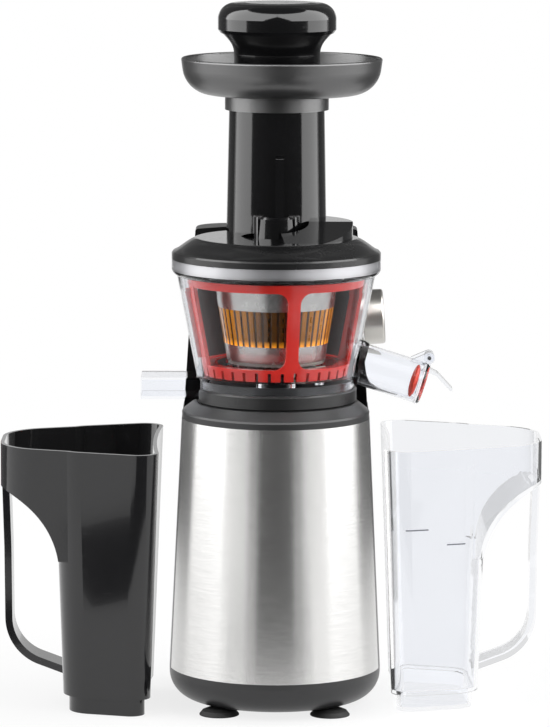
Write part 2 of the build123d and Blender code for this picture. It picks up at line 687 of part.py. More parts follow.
with BuildPart() as juice_cap:
    with BuildSketch(spout_side_plane()):
        with BuildLine():
            Polyline((0.3, 0), (0.3, 13.4), (2.2, 13.4), (3.2, 12.4), (3.2, 0), (0.3, 0))
        make_face()
    revolve(axis=Axis(spout_side_plane().origin, spout_side_plane().x_dir))
    with BuildSketch(Plane(spout_side_plane().origin, x_dir=(0, 1, 0), z_dir=spout_side_plane().x_dir).offset(-4.6)):
        Circle(8.4)
    extrude(amount=5.4)
    with BuildSketch(spout_side_plane(-4.9)):
        with Locations((HINGE_OUT, HINGE_UP)):
            Circle(3.2)
        with Locations((1.75, 14.0)):
            Rectangle(2.9, 6)
        with Locations((HINGE_OUT, HINGE_UP)):
            Circle(1.2 + RUNNING, mode=Mode.SUBTRACT)
    extrude(amount=9.8)
    with BuildSketch(spout_side_plane(-6.5)):
        with BuildLine():
            FilletPolyline((2.6, 10.4), (9.0, 9.4), (21.0, 2.6), (20.2, 1.0), (8.4, 7.6), (2.6, 8.2), radius=0.7,
                           close=True)
        make_face()
    extrude(amount=13)
write(juice_cap.part, "juice_cap")

with BuildPart() as cap_seal:
    with BuildSketch(spout_side_plane()):
        with BuildLine():
            Polyline((0.25, 8.45), (0.25, 10.6), (-1.5, 11.0), (-7.8, 9.3), (-7.8, 0), (-4.7, 0), (-4.7, 8.45),
                     (0.25, 8.45))
        make_face()
    revolve(axis=Axis(spout_side_plane().origin, spout_side_plane().x_dir))
write(cap_seal.part, "cap_seal")

# ------------------------------------------------------------------ strainer and spinning cage
MESH_WALL = 0.5
AMBER_LOW = 226.7
AMBER_HIGH = 249.0


def strainer_radius(z, inset=0.0):
    return on_cone(z, STRAINER_LOW, STRAINER_HIGH) - inset


def cone_band(low, high, outer_inset, inner_inset, radius_at=strainer_radius):
    """Section of a conical band between two heights and two insets from the outer cone."""
    return section((radius_at(low) - outer_inset, low), (radius_at(high) - outer_inset, high),
                   (radius_at(high) - inner_inset, high), (radius_at(low) - inner_inset, low))


with BuildPart() as strainer_frame:
    revolve(cone_band(216.2, STRAINER_TOP, MESH_WALL, MESH_WALL + STRAINER_WALL), axis=BOWL_AXIS)
    revolve(cone_band(AMBER_LOW, AMBER_HIGH, 0.0, 1.0), axis=BOWL_AXIS)
    revolve(section((20.0, 214.4), (STRAINER_LOW[1], 214.4), (STRAINER_LOW[1], 216.4), (20.0, 216.4)),
            axis=BOWL_AXIS)
    revolve(section((36.0, 264.8), (39.2, 264.8), (39.2, STRAINER_TOP), (36.0, STRAINER_TOP)), axis=BOWL_AXIS)
    for turn in range(0, 360, 30):
        side = Plane((0, AXIS_Y, 0), x_dir=(-sin(radians(turn)), cos(radians(turn)), 0),
                     z_dir=(cos(radians(turn)), sin(radians(turn)), 0)).offset(20)
        with BuildSketch(side):
            with Locations((0, 221.6)):
                RectangleRounded(11.0, 8.4, 1.5)
            with Locations((0, 257.0)):
                RectangleRounded(14.0, 12.6, 1.5)
            with Locations((-4.3, 243.5), (-4.3, 237.8), (-4.3, 232.1), (4.3, 243.5), (4.3, 237.8), (4.3, 232.1)):
                Rectangle(0.9, 3.6)
        extrude(amount=30, mode=Mode.SUBTRACT)
    with Locations((PULP_PORT_X, AXIS_Y, 212)):
        Box(9, 15, 6, align=(Align.CENTER, Align.CENTER, Align.MIN), mode=Mode.SUBTRACT)
write(strainer_frame.part, "strainer_frame")

with BuildPart() as strainer_mesh_upper:
    revolve(cone_band(AMBER_HIGH, 264.8, 0.0, MESH_WALL), axis=BOWL_AXIS)
write(strainer_mesh_upper.part, "strainer_mesh_upper")

with BuildPart() as strainer_mesh_lower:
    revolve(cone_band(216.4, AMBER_LOW, 0.0, MESH_WALL), axis=BOWL_AXIS)
write(strainer_mesh_lower.part, "strainer_mesh_lower")

with BuildPart() as idler_gear:
    with BuildSketch(level(GEAR_LOW, *IDLER_PLACE)):
        add(gear_outline(0, GEAR_MODULE, IDLER_TEETH, IDLER_ANGLE + 180 + 180 / IDLER_TEETH, (0, 0)))
        Circle(2.5 + RUNNING, mode=Mode.SUBTRACT)
    extrude(amount=GEAR_HIGH - GEAR_LOW)
write(idler_gear.part, "idler_gear")


def cage_radius(z, inset=0.0):
    return on_cone(z, CAGE_LOW, CAGE_HIGH) - inset


WINDOW_LOW = 214.6
WINDOW_HIGH = 262.5


def post_plane(turn, distance):
    """Upright plane that faces outward at the angle turn, at a distance from the bowl axis."""
    angle = radians(turn)
    return Plane((distance * cos(angle), AXIS_Y + distance * sin(angle), 0),
                 x_dir=(-sin(angle), cos(angle), 0), z_dir=(cos(angle), sin(angle), 0))


def cage_shell():
    """Full conical wall of the cage, before the windows are opened."""
    with BuildPart() as shell:
        revolve(cone_band(GEAR_HIGH, CAGE_TOP, 0.0, CAGE_WALL, cage_radius), axis=BOWL_AXIS)
    return shell.part


POST_WIDTH = 7.6
WINDOW_CORNER = 7.0
with BuildPart() as cage_posts:
    for post in range(CAGE_POSTS):
        with BuildSketch(post_plane(CAGE_TURN + post * 360 / CAGE_POSTS, 40.0)) as post_face:
            with Locations((0, (WINDOW_LOW + WINDOW_HIGH) / 2)):
                Rectangle(POST_WIDTH, WINDOW_HIGH - WINDOW_LOW + 2)
            for edge_z in (WINDOW_LOW - 0.5, WINDOW_HIGH + 0.5):
                with Locations((0, edge_z)):
                    Rectangle(POST_WIDTH + 4 * WINDOW_CORNER, 1.0)
            fillet(post_face.vertices().filter_by_position(Axis.X, -POST_WIDTH, POST_WIDTH), WINDOW_CORNER)
        extrude(amount=20)
    add(cage_shell(), mode=Mode.INTERSECT)

with BuildPart() as gear_slots:
    extrude(gear_outline(GEAR_LOW - 1, GEAR_MODULE, RING_TEETH, IDLER_ANGLE + 180 / RING_TEETH, (0, AXIS_Y),
                         thicker=0.1, reach=1.1, depth=0.8), amount=GEAR_HIGH - GEAR_LOW + 1)
    with BuildSketch(level(GEAR_LOW - 1)):
        with PolarLocations(43.0, RING_TEETH, start_angle=IDLER_ANGLE + 180 / RING_TEETH):
            Rectangle(8.0, 1.9)
    extrude(amount=GEAR_HIGH - GEAR_LOW + 1)

with BuildPart() as brush_cage:
    revolve(cone_band(WINDOW_HIGH, CAGE_TOP, 0.0, CAGE_WALL, cage_radius), axis=BOWL_AXIS)
    revolve(cone_band(CAGE_TOP - 2, CAGE_TOP, -0.4, 1.0, cage_radius), axis=BOWL_AXIS)
    revolve(section((37.9, GEAR_LOW), (CAGE_LOW[1], GEAR_LOW), (cage_radius(WINDOW_LOW), WINDOW_LOW),
                    (cage_radius(WINDOW_LOW) - CAGE_WALL, WINDOW_LOW), (41.5, 214.2), (37.9, 214.2)),
            axis=BOWL_AXIS)
    add(gear_slots.part, mode=Mode.SUBTRACT)
    add(cage_posts.part)
write(brush_cage.part, "brush_cage")


def wiper_section(turn):
    """Outline of one silicone blade, on the upright plane through the bowl axis at the angle turn."""
    plane = Plane((0, AXIS_Y, 0), x_dir=(cos(radians(turn)), sin(radians(turn)), 0),
                  z_dir=(sin(radians(turn)), -cos(radians(turn)), 0))
    low, high = 218.0, 259.0
    with BuildSketch(plane) as blade:
        with BuildLine():
            Polyline((strainer_radius(low) + 0.4, low), (strainer_radius(high) + 0.4, high),
                     (cage_radius(high) - CAGE_WALL, high), (cage_radius(low) - CAGE_WALL, low), close=True)
        make_face()
        with BuildLine():
            Polyline((cage_radius(low), low), (bowl_wall_outer(low) - 2.95, low),
                     (bowl_wall_outer(high) - 2.95, high), (cage_radius(high), high), close=True)
        make_face()
    return blade.sketch


with BuildPart() as wiper_blades:
    for post in range(CAGE_POSTS):
        extrude(wiper_section(CAGE_TURN + post * 360 / CAGE_POSTS), amount=0.8, both=True)
    add(cage_shell(), mode=Mode.SUBTRACT)
write(wiper_blades.part, "wiper_blades")

# ------------------------------------------------------------------ auger
AUGER_CORE_LOW = (218.0, 15.0)
AUGER_CORE_HIGH = (262.0, 11.0)
FLIGHT_GAP = 1.0
FLIGHT_PITCH = 17.0
with BuildPart() as auger:
    revolve(section((0, 196.0), (0, 283.0), (6.0, 283.0), (6.0, 270.0), (9.6, 266.0), AUGER_CORE_HIGH[::-1],
                    AUGER_CORE_LOW[::-1], (19.4, 216.0), (19.4, 213.4), (15.2, 213.0), (15.2, GEAR_HIGH),
                    (9.0, GEAR_HIGH), (9.0, 199.6), (8.0, 199.6), (8.0, 196.0)), axis=BOWL_AXIS)
    extrude(gear_outline(GEAR_LOW, GEAR_MODULE, SUN_TEETH, IDLER_ANGLE), amount=GEAR_HIGH - GEAR_LOW)
    with BuildSketch(level(190)):
        RegularPolygon(HEX_RADIUS + 0.05, 6)
    extrude(amount=60, mode=Mode.SUBTRACT)
write(auger.part, "auger")

with BuildPart() as auger_drive:
    with BuildSketch(level(191.5)):
        RegularPolygon(HEX_RADIUS, 6)
    extrude(amount=58)
    chamfer(auger_drive.faces().sort_by(Axis.Z)[0].edges(), 0.8)
write(auger_drive.part, "auger_drive")

# ------------------------------------------------------------------ lid and feed tube
BOSS_RADIUS = 13.2
BOSS_TOP = 304.0
LID_WALL = 2.5
PLATFORM_HEIGHT = 9.5
with BuildPart() as feed_bore:
    loft([disc(268.0, 27.0, 0, AXIS_Y + 10.0), disc(300.0, 28.2, 0, TUBE_Y)])
    loft([disc(300.0, 28.2, 0, TUBE_Y), disc(TUBE_TOP + 1, 27.2, 0, TUBE_Y)])

with BuildPart() as lid_ramp:
    with BuildSketch(level(LID_DECK - 1)):
        with BuildLine():
            CenterArc((0, 0), 47.0, -82, 150)
            CenterArc((0, 0), 20.0, -82, 150)
            for edge in (-82, 68):
                Line((20 * cos(radians(edge)), 20 * sin(radians(edge))),
                     (47 * cos(radians(edge)), 47 * sin(radians(edge))))
        make_face()
    extrude(amount=PLATFORM_HEIGHT + 1)
    split(bisect_by=Plane((0, AXIS_Y - 40, LID_DECK - 0.6), x_dir=(1, 0, 0), z_dir=(0, -0.24, 1)),
          keep=Keep.BOTTOM)

with BuildPart() as lid:
    with BuildSketch(section_plane()):
        with BuildLine():
            Polyline((0, LID_DECK), (DECK_RADIUS - 2, LID_DECK))
            RadiusArc((DECK_RADIUS - 2, LID_DECK), (DECK_RADIUS + 1.5, LID_DECK - 1), 5)
            Spline((DECK_RADIUS + 1.5, LID_DECK - 1), (58.5, 285.6), (RIM_RADIUS - 0.8, 282.6),
                   tangents=[(1, -0.45), (1, -0.35)])
            Polyline((RIM_RADIUS - 0.8, 282.6), (RIM_RADIUS, 281.6), (RIM_RADIUS, RIM_TOP + 0.1),
                     (61.2, RIM_TOP + 0.1), (61.2, 273.2), (59.2, 273.2), (59.2, 281.6), (57.0, 283.4),
                     (DECK_RADIUS, LID_DECK - 3.4), (DECK_RADIUS - 3, LID_DECK - LID_WALL),
                     (0, LID_DECK - LID_WALL), (0, LID_DECK))
        make_face()
    revolve(axis=BOWL_AXIS)
    revolve(section((38.8, 268.0), (40.8, 268.0), (40.8, 289.0), (38.8, 289.0)), axis=BOWL_AXIS)
    revolve(section((0, LID_DECK - 1), (0, BOSS_TOP), (BOSS_RADIUS - 1.2, BOSS_TOP), (BOSS_RADIUS, BOSS_TOP - 1.2),
                    (BOSS_RADIUS + 1.0, LID_DECK - 1)), axis=BOWL_AXIS)
    loft([disc(LID_DECK - 2.4, TUBE_RADIUS_LOW, 0, TUBE_Y), disc(SLEEVE_BOTTOM, TUBE_RADIUS_TOP, 0, TUBE_Y)])
    extrude(disc(SLEEVE_BOTTOM, TUBE_RADIUS_TOP - 0.1, 0, TUBE_Y), amount=TUBE_TOP - SLEEVE_BOTTOM)
    with BuildSketch(Plane.YZ.offset(-0.6)):
        with BuildLine():
            FilletPolyline((AXIS_Y - 11.5, BOSS_TOP - 2), (AXIS_Y - 9.0, 316.0), (AXIS_Y - 6.8, 339.5),
                           (AXIS_Y - 4.6, 342.0), (TUBE_Y - 20, 342.0), (TUBE_Y - 20, BOSS_TOP - 2), radius=1.2,
                           close=True)
        make_face()
    extrude(amount=5.0)
    add(lid_ramp.part)
    add(feed_bore.part, mode=Mode.SUBTRACT)
    extrude(disc(280.0, 7.0), amount=19.5, mode=Mode.SUBTRACT)
write(lid.part, "lid")

with BuildPart() as auger_bush:
    revolve(section((6.0 + RUNNING, 285.0), (6.9, 285.0), (6.9, 299.4), (0, 299.4), (0, 297.4), (6.0 + RUNNING, 297.4)),
            axis=BOWL_AXIS)
write(auger_bush.part, "auger_bush")

with BuildPart() as lid_seal:
    revolve(section((61.2, 275.0), (61.55, 275.0), (61.55, 277.0), (61.2, 277.0)), axis=BOWL_AXIS)
write(lid_seal.part, "lid_seal")

# ------------------------------------------------------------------ feed tray and pusher
TRAY_CORNER = 16.0
with BuildPart() as feed_tray:
    revolve(section((TUBE_RADIUS_TOP + 0.15, SLEEVE_BOTTOM), (SLEEVE_RADIUS, SLEEVE_BOTTOM), (SLEEVE_RADIUS, 379.0),
                    (TUBE_RADIUS_TOP + 0.15, 379.0), x=0, y=TUBE_Y), axis=TUBE_AXIS)
    with BuildSketch(section_plane(TRAY_SHIFT_X, TUBE_Y)):
        with BuildLine():
            Polyline((0, TRAY_BOTTOM), (TRAY_RADIUS - TRAY_CORNER - 1.5, TRAY_BOTTOM))
            ThreePointArc((TRAY_RADIUS - TRAY_CORNER - 1.5, TRAY_BOTTOM),
                          (TRAY_RADIUS - 5.6, TRAY_BOTTOM + 5.4), (TRAY_RADIUS - 0.8, TRAY_BOTTOM + 15.5))
            Line((TRAY_RADIUS - 0.8, TRAY_BOTTOM + 15.5), (TRAY_RADIUS, TRAY_TOP - 1.2))
            ThreePointArc((TRAY_RADIUS, TRAY_TOP - 1.2), (TRAY_RADIUS - 1.2, TRAY_TOP),
                          (TRAY_RADIUS - 2.4, TRAY_TOP - 1.2))
            Line((TRAY_RADIUS - 2.4, TRAY_TOP - 1.2), (TRAY_RADIUS - 3.2, TRAY_BOTTOM + 15.5))
            ThreePointArc((TRAY_RADIUS - 3.2, TRAY_BOTTOM + 15.5), (TRAY_RADIUS - 7.4, TRAY_BOTTOM + 7.0),
                          (TRAY_RADIUS - TRAY_CORNER - 1.5, TRAY_BOTTOM + 2.4))
            Polyline((TRAY_RADIUS - TRAY_CORNER - 1.5, TRAY_BOTTOM + 2.4), (0, TRAY_BOTTOM + 2.4), (0, TRAY_BOTTOM))
        make_face()
    revolve(axis=Axis((TRAY_SHIFT_X, TUBE_Y, 0), (0, 0, 1)))
    extrude(disc(SLEEVE_BOTTOM - 1, TUBE_RADIUS_TOP + 0.15, 0, TUBE_Y), amount=TUBE_TOP - SLEEVE_BOTTOM + 1.2,
            mode=Mode.SUBTRACT)
    extrude(disc(SLEEVE_BOTTOM, 27.2, 0, TUBE_Y), amount=20, mode=Mode.SUBTRACT)
write(feed_tray.part, "feed_tray")

PUSHER_WALL = 3.0
with BuildPart() as pusher_stem:
    revolve(section((0, PUSHER_BOTTOM), (PUSHER_RADIUS - 2.5, PUSHER_BOTTOM),
                    (PUSHER_RADIUS - 1.2, PUSHER_BOTTOM + 1.2), (PUSHER_RADIUS, NECK_BOTTOM - 6.0),
                    (PUSHER_RADIUS, NECK_BOTTOM), (PUSHER_RADIUS - PUSHER_WALL, NECK_BOTTOM),
                    (PUSHER_RADIUS - PUSHER_WALL, PUSHER_BOTTOM + PUSHER_WALL), (0, PUSHER_BOTTOM + PUSHER_WALL),
                    x=0, y=TUBE_Y), axis=TUBE_AXIS)
write(pusher_stem.part, "pusher_stem")

with BuildPart() as pusher_cap:
    with BuildSketch(section_plane(0, TUBE_Y)):
        with BuildLine():
            Polyline((0, NECK_BOTTOM), (PUSHER_RADIUS, NECK_BOTTOM))
            Spline((PUSHER_RADIUS, NECK_BOTTOM), (28.0, 407.5), (NECK_RADIUS, NECK_TOP), tangents=[(0, 1), (1, 1)])
            Polyline((NECK_RADIUS, NECK_TOP), (CAP_RADIUS - 1.6, NECK_TOP), (CAP_RADIUS, NECK_TOP + 2.2),
                     (CAP_RADIUS, 424.0))
            ThreePointArc((CAP_RADIUS, 424.0), (CAP_RADIUS - 3.2, 430.6), (CAP_RADIUS - 10.5, CAP_TOP - 0.3))
            Polyline((CAP_RADIUS - 10.5, CAP_TOP - 0.3), (CAP_RADIUS - 16, CAP_TOP), (0, CAP_TOP), (0, NECK_BOTTOM))
        make_face()
    revolve(axis=TUBE_AXIS)
    extrude(disc(NECK_BOTTOM, PUSHER_RADIUS - PUSHER_WALL, 0, TUBE_Y), amount=CAP_TOP - NECK_BOTTOM - 3,
            mode=Mode.SUBTRACT)
write(pusher_cap.part, "pusher_cap")


# ------------------------------------------------------------------ the two jugs
def jug_outline(plane, near, far, near_half, far_half, near_corner, far_corner, inset):
    """Plan of a jug: hollow side next to the machine at local x = near, narrow end at x = far."""
    with BuildSketch(plane) as drawing:
        with BuildLine():
            ThreePointArc((near, -near_half), (near + JUG_HOLLOW, 0), (near, near_half))
            Polyline((near, near_half), (far, far_half), (far, -far_half), (near, -near_half))
        make_face()
        fillet(drawing.vertices().group_by(Axis.X)[-1], far_corner)
        fillet(drawing.vertices().group_by(Axis.X)[0], near_corner)
        if inset:
            offset(amount=-inset, mode=Mode.REPLACE)
    return drawing.sketch


def jug_level(place, outward, z):
    """Horizontal plane of a jug at height z, with local x pointing away from the machine."""
    return Plane((place[0], place[1], z), x_dir=(outward, 0, 0), z_dir=(0, 0, 1))


def jug_side(place, outward, shift=0.0):
    """Upright plane along a jug's middle: local x away from the machine, local y up."""
    return Plane((place[0], place[1] + outward * shift, 0), x_dir=(outward, 0, 0), z_dir=(0, -outward, 0))


def jug_spout(place, outward, inset):
    """Upper part of a jug that reaches out over the handle, with its curved underside."""
    foot = 96.0
    with BuildPart() as spout:
        loft([jug_outline(jug_level(place, outward, foot), 0.0, JUG_LENGTH, 60.4, 28.0, 12.0, 26.0, inset),
              jug_outline(jug_level(place, outward, JUG_HEIGHT), 0.0, JUG_LENGTH, JUG_HALF_WIDTH - 0.6,
                          JUG_NOSE_HALF_WIDTH, 12.0, 34.0, inset)])
        with BuildSketch(jug_side(place, outward, JUG_LENGTH)):
            with BuildLine():
                Polyline((63.5 - inset, foot), (30, foot), (30, JUG_HEIGHT), (JUG_LENGTH + 5, JUG_HEIGHT),
                         (JUG_LENGTH + 5, 140.5 + inset), (JUG_LENGTH - 1, 139 + inset))
                ThreePointArc((JUG_LENGTH - 1, 139 + inset), (74 - inset, 121 + inset), (63.5 - inset, foot))
            make_face()
        extrude(amount=2 * JUG_LENGTH, mode=Mode.INTERSECT)
    return spout.part


def jug_form(place, outward, inset):
    """Solid form of a jug shrunk by inset: tapering body, spout over the handle, and foot."""
    step = JUG_STEP + inset
    with BuildPart() as form:
        loft([jug_outline(jug_level(place, outward, step), 5.0, 61.5, 49.0, 33.0, 12.0, 20.0, inset),
              jug_outline(jug_level(place, outward, JUG_HEIGHT), 0.0, 66.0, JUG_HALF_WIDTH, 50.0, 12.0, 24.0,
                          inset)])
        add(jug_spout(place, outward, inset))
        extrude(jug_outline(jug_level(place, outward, inset), 5.0, 61.5, 49.0, 33.0, 12.0, 20.0,
                            inset + JUG_FOOT_STEP), amount=JUG_STEP + 1.0)
    return form.part


def jug(place, outward):
    """Whole jug with its strap handle."""
    with BuildPart() as whole:
        add(jug_form(place, outward, 0.0))
        with BuildSketch(jug_side(place, outward, JUG_HANDLE_WIDTH / 2)):
            with BuildLine():
                Polyline((97.0, 141.0), (95.8, 100.0), (95.4, 56.0))
                TangentArc((95.4, 56.0), (76.0, 28.5), tangent=(0, -1))
                Line((76.0, 28.5), (60.0, 22.5))
            trace(line_width=4.4)
        extrude(amount=JUG_HANDLE_WIDTH)
        add(jug_form(place, outward, JUG_WALL), mode=Mode.SUBTRACT)
    return whole.part


pulp_container = jug(BLACK_JUG_PLACE, -1)
write(pulp_container, "pulp_container")

juice_jug = jug(CLEAR_JUG_PLACE, 1)
write(juice_jug, "juice_jug")
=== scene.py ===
"""Looks of the cold press juicer: finishes for its pieces, fine moulded details and a pale studio.

The file is laid out as an add-on and run as a script. Lengths are metres in the juicer's own frame:
+Z up, front towards -Y, juice spout towards +X. The auger, the bowl and the motor share one axis.
"""
from math import cos, pi, radians, sin

import bmesh
import bpy
import numpy as np
from bpy.props import FloatProperty, FloatVectorProperty, PointerProperty
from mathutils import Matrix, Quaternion, Vector


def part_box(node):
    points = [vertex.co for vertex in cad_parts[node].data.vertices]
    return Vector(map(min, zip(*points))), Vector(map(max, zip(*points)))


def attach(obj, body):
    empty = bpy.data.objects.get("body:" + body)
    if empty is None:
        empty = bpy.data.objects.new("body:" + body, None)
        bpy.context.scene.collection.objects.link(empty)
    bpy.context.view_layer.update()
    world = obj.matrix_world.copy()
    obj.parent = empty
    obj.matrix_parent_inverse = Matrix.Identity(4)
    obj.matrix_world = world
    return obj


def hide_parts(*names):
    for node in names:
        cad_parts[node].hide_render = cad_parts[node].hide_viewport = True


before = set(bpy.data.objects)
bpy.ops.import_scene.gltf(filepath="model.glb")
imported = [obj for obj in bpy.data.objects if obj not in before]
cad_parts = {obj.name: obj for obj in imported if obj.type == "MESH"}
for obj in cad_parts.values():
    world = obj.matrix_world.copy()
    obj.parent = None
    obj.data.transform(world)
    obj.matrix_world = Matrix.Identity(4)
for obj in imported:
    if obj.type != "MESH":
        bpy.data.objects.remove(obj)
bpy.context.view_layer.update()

bl_info = {
    "name": "Cold press juicer",
    "version": (1, 0, 0),
    "blender": (4, 5, 0),
    "location": "3D View > Sidebar > Juicer",
    "description": "Finishes and fine details of a cold press juicer, piece by piece",
    "category": "Object",
}


def middle(node):
    """Centre of a node's box at rest."""
    low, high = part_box(node)
    return (low + high) / 2


BOWL_Y = middle("output_shaft").y  # the auger's axis stands at x = 0, y = BOWL_Y
BOWL_FOOT = (0.0, BOWL_Y, 0.0)  # where that axis meets the worktop
DECK_Z = 0.291  # flat top of the lid round the feed tube
AMBER_LOW = 0.2267  # lower edge of the strainer's amber band
RIM_LOW = 0.2713  # the bowl's thick rim, frosted and silvery, runs up from here
RIM_INSIDE = 0.0605  # radius inside that rim

# Cones round the auger's axis: two heights and the radius at each
STRAINER_CONE = ((0.215, 0.265), (0.0302, 0.0384))
CAGE_CONE = ((0.207, 0.265), (0.0444, 0.055))
BOWL_CONE = ((0.2036, 0.268), (0.0486, 0.061))
CORE_CONE = ((0.218, 0.262), (0.015, 0.011))
CAGE_TURN = -78.0  # direction of the cage's front post, in degrees from +X

# The juice spout, straight down to the right from its root in the bowl
SPOUT_ROOT = (0.044, BOWL_Y, 0.2153)
SPOUT_LENGTH = 0.0465
SPOUT_SLOPE = radians(17.5)

CARD_SPHERE = 1.3  # radius of the sphere that the studio's cards stand on
CARD_CENTRE = (0.0, BOWL_Y, 0.2)
CARD_FOOT = -8.7  # elevation in degrees at which that sphere meets the floor
CARD_TOP = 62.0  # elevation in degrees of the upright cards' upper end
CARD_FLOOR = 1.29  # how far out from the axis the floor cards reach


# ------------------------------------------------------------------ sizes and colours to change
class FinishSettings(bpy.types.PropertyGroup):
    """Colours and grain sizes of the juicer's finishes."""

    steel: FloatVectorProperty(name="Steel", description="Brushed steel jacket", subtype="COLOR",
                               size=3, default=(0.71, 0.705, 0.695), min=0, max=1)
    gloss: FloatVectorProperty(name="Gloss black", description="Polished black plastic", subtype="COLOR",
                               size=3, default=(0.0045, 0.0045, 0.005), min=0, max=1)
    satin: FloatVectorProperty(name="Satin black", description="Fine grained black plastic", subtype="COLOR",
                               size=3, default=(0.011, 0.011, 0.0115), min=0, max=1)
    grey: FloatVectorProperty(name="Dark grey", description="Shoulder cover and bottom pan", subtype="COLOR",
                              size=3, default=(0.021, 0.021, 0.022), min=0, max=1)
    cage: FloatVectorProperty(name="Cage red", description="Spinning brush cage", subtype="COLOR",
                              size=3, default=(0.56, 0.015, 0.008), min=0, max=1)
    amber: FloatVectorProperty(name="Amber", description="Strainer frame", subtype="COLOR",
                               size=3, default=(0.95, 0.33, 0.012), min=0, max=1)
    clear: FloatVectorProperty(name="Clear plastic", description="Tint of bowl, cap and juice jug", subtype="COLOR",
                               size=3, default=(0.945, 0.955, 0.98), min=0, max=1)
    dial: FloatVectorProperty(name="Dial metal", description="Satin metal of the power dial", subtype="COLOR",
                              size=3, default=(0.60, 0.585, 0.55), min=0, max=1)
    brush_line: FloatProperty(name="Brush line", description="Height of one brushed line in the steel",
                              default=0.00045, min=0.0001, max=0.002, subtype="DISTANCE", unit="LENGTH")
    grain: FloatProperty(name="Grain", description="Size of the grain moulded into satin plastic",
                         default=0.0007, min=0.0001, max=0.003, subtype="DISTANCE", unit="LENGTH")


class StudioSettings(bpy.types.PropertyGroup):
    """Camera and light of the studio."""

    distance: FloatProperty(name="Camera distance", description="From the bowl's axis to the camera",
                            default=2.72, min=0.5, max=10, subtype="DISTANCE", unit="LENGTH")
    height: FloatProperty(name="Camera height", description="Above the worktop", default=0.586,
                          min=0, max=5, subtype="DISTANCE", unit="LENGTH")
    aim: FloatProperty(name="Aim height", description="Height that the camera looks at", default=0.2126,
                       min=0, max=1, subtype="DISTANCE", unit="LENGTH")
    lens: FloatProperty(name="Lens", description="Focal length for a sensor 36 mm wide", default=291.3,
                        min=20, max=600, subtype="DISTANCE_CAMERA", unit="CAMERA")
    softbox: FloatProperty(name="Softbox power", description="Power of each side lamp in watts", default=30.0,
                           min=0, max=500)
    fill: FloatProperty(name="Fill", description="Strength of the sky for matt surfaces", default=0.62,
                        min=0, max=2)
    front: FloatProperty(name="Front card", description="Brightness of the dark card that gloss reflects in front",
                         default=0.07, min=0, max=1)
    back: FloatProperty(name="Back cards", description="Brightness of the cards beside the backdrop",
                        default=0.16, min=0, max=1)
    low: FloatProperty(name="Low boxes", description="Brightness of the strips beside the front card",
                       default=1.75, min=0, max=20)
    top: FloatProperty(name="Top boxes", description="Brightness of the two boxes above, seen in gloss only",
                       default=4.0, min=0, max=20)


# ------------------------------------------------------------------ shaders
def plug(tree, socket, entry):
    """Gives a shader input a number, a colour or a link."""
    if isinstance(entry, Socket):
        tree.links.new(entry.link, socket)
    elif isinstance(entry, (int, float)) or len(entry) == len(socket.default_value):
        socket.default_value = entry
    else:
        socket.default_value = (*entry, 1.0)


class Socket:
    """A number on its way through a shader: each sum, product or power adds one Math node."""

    def __init__(self, tree, link):
        self.tree = tree
        self.link = link

    def maths(self, operation, first, second=0.0):
        node = self.tree.nodes.new("ShaderNodeMath")
        node.operation = operation
        plug(self.tree, node.inputs[0], first)
        plug(self.tree, node.inputs[1], second)
        return Socket(self.tree, node.outputs[0])

    def sine(self):
        return self.maths("SINE", self)

    def __add__(self, other):
        return self.maths("ADD", self, other)

    def __sub__(self, other):
        return self.maths("SUBTRACT", self, other)

    def __rsub__(self, other):
        return self.maths("SUBTRACT", other, self)

    def __mul__(self, other):
        return self.maths("MULTIPLY", self, other)

    def __truediv__(self, other):
        return self.maths("DIVIDE", self, other)

    def __pow__(self, other):
        return self.maths("POWER", self, other)

    def __gt__(self, other):
        return self.maths("GREATER_THAN", self, other)

    def __lt__(self, other):
        return self.maths("LESS_THAN", self, other)

    __radd__ = __add__
    __rmul__ = __mul__


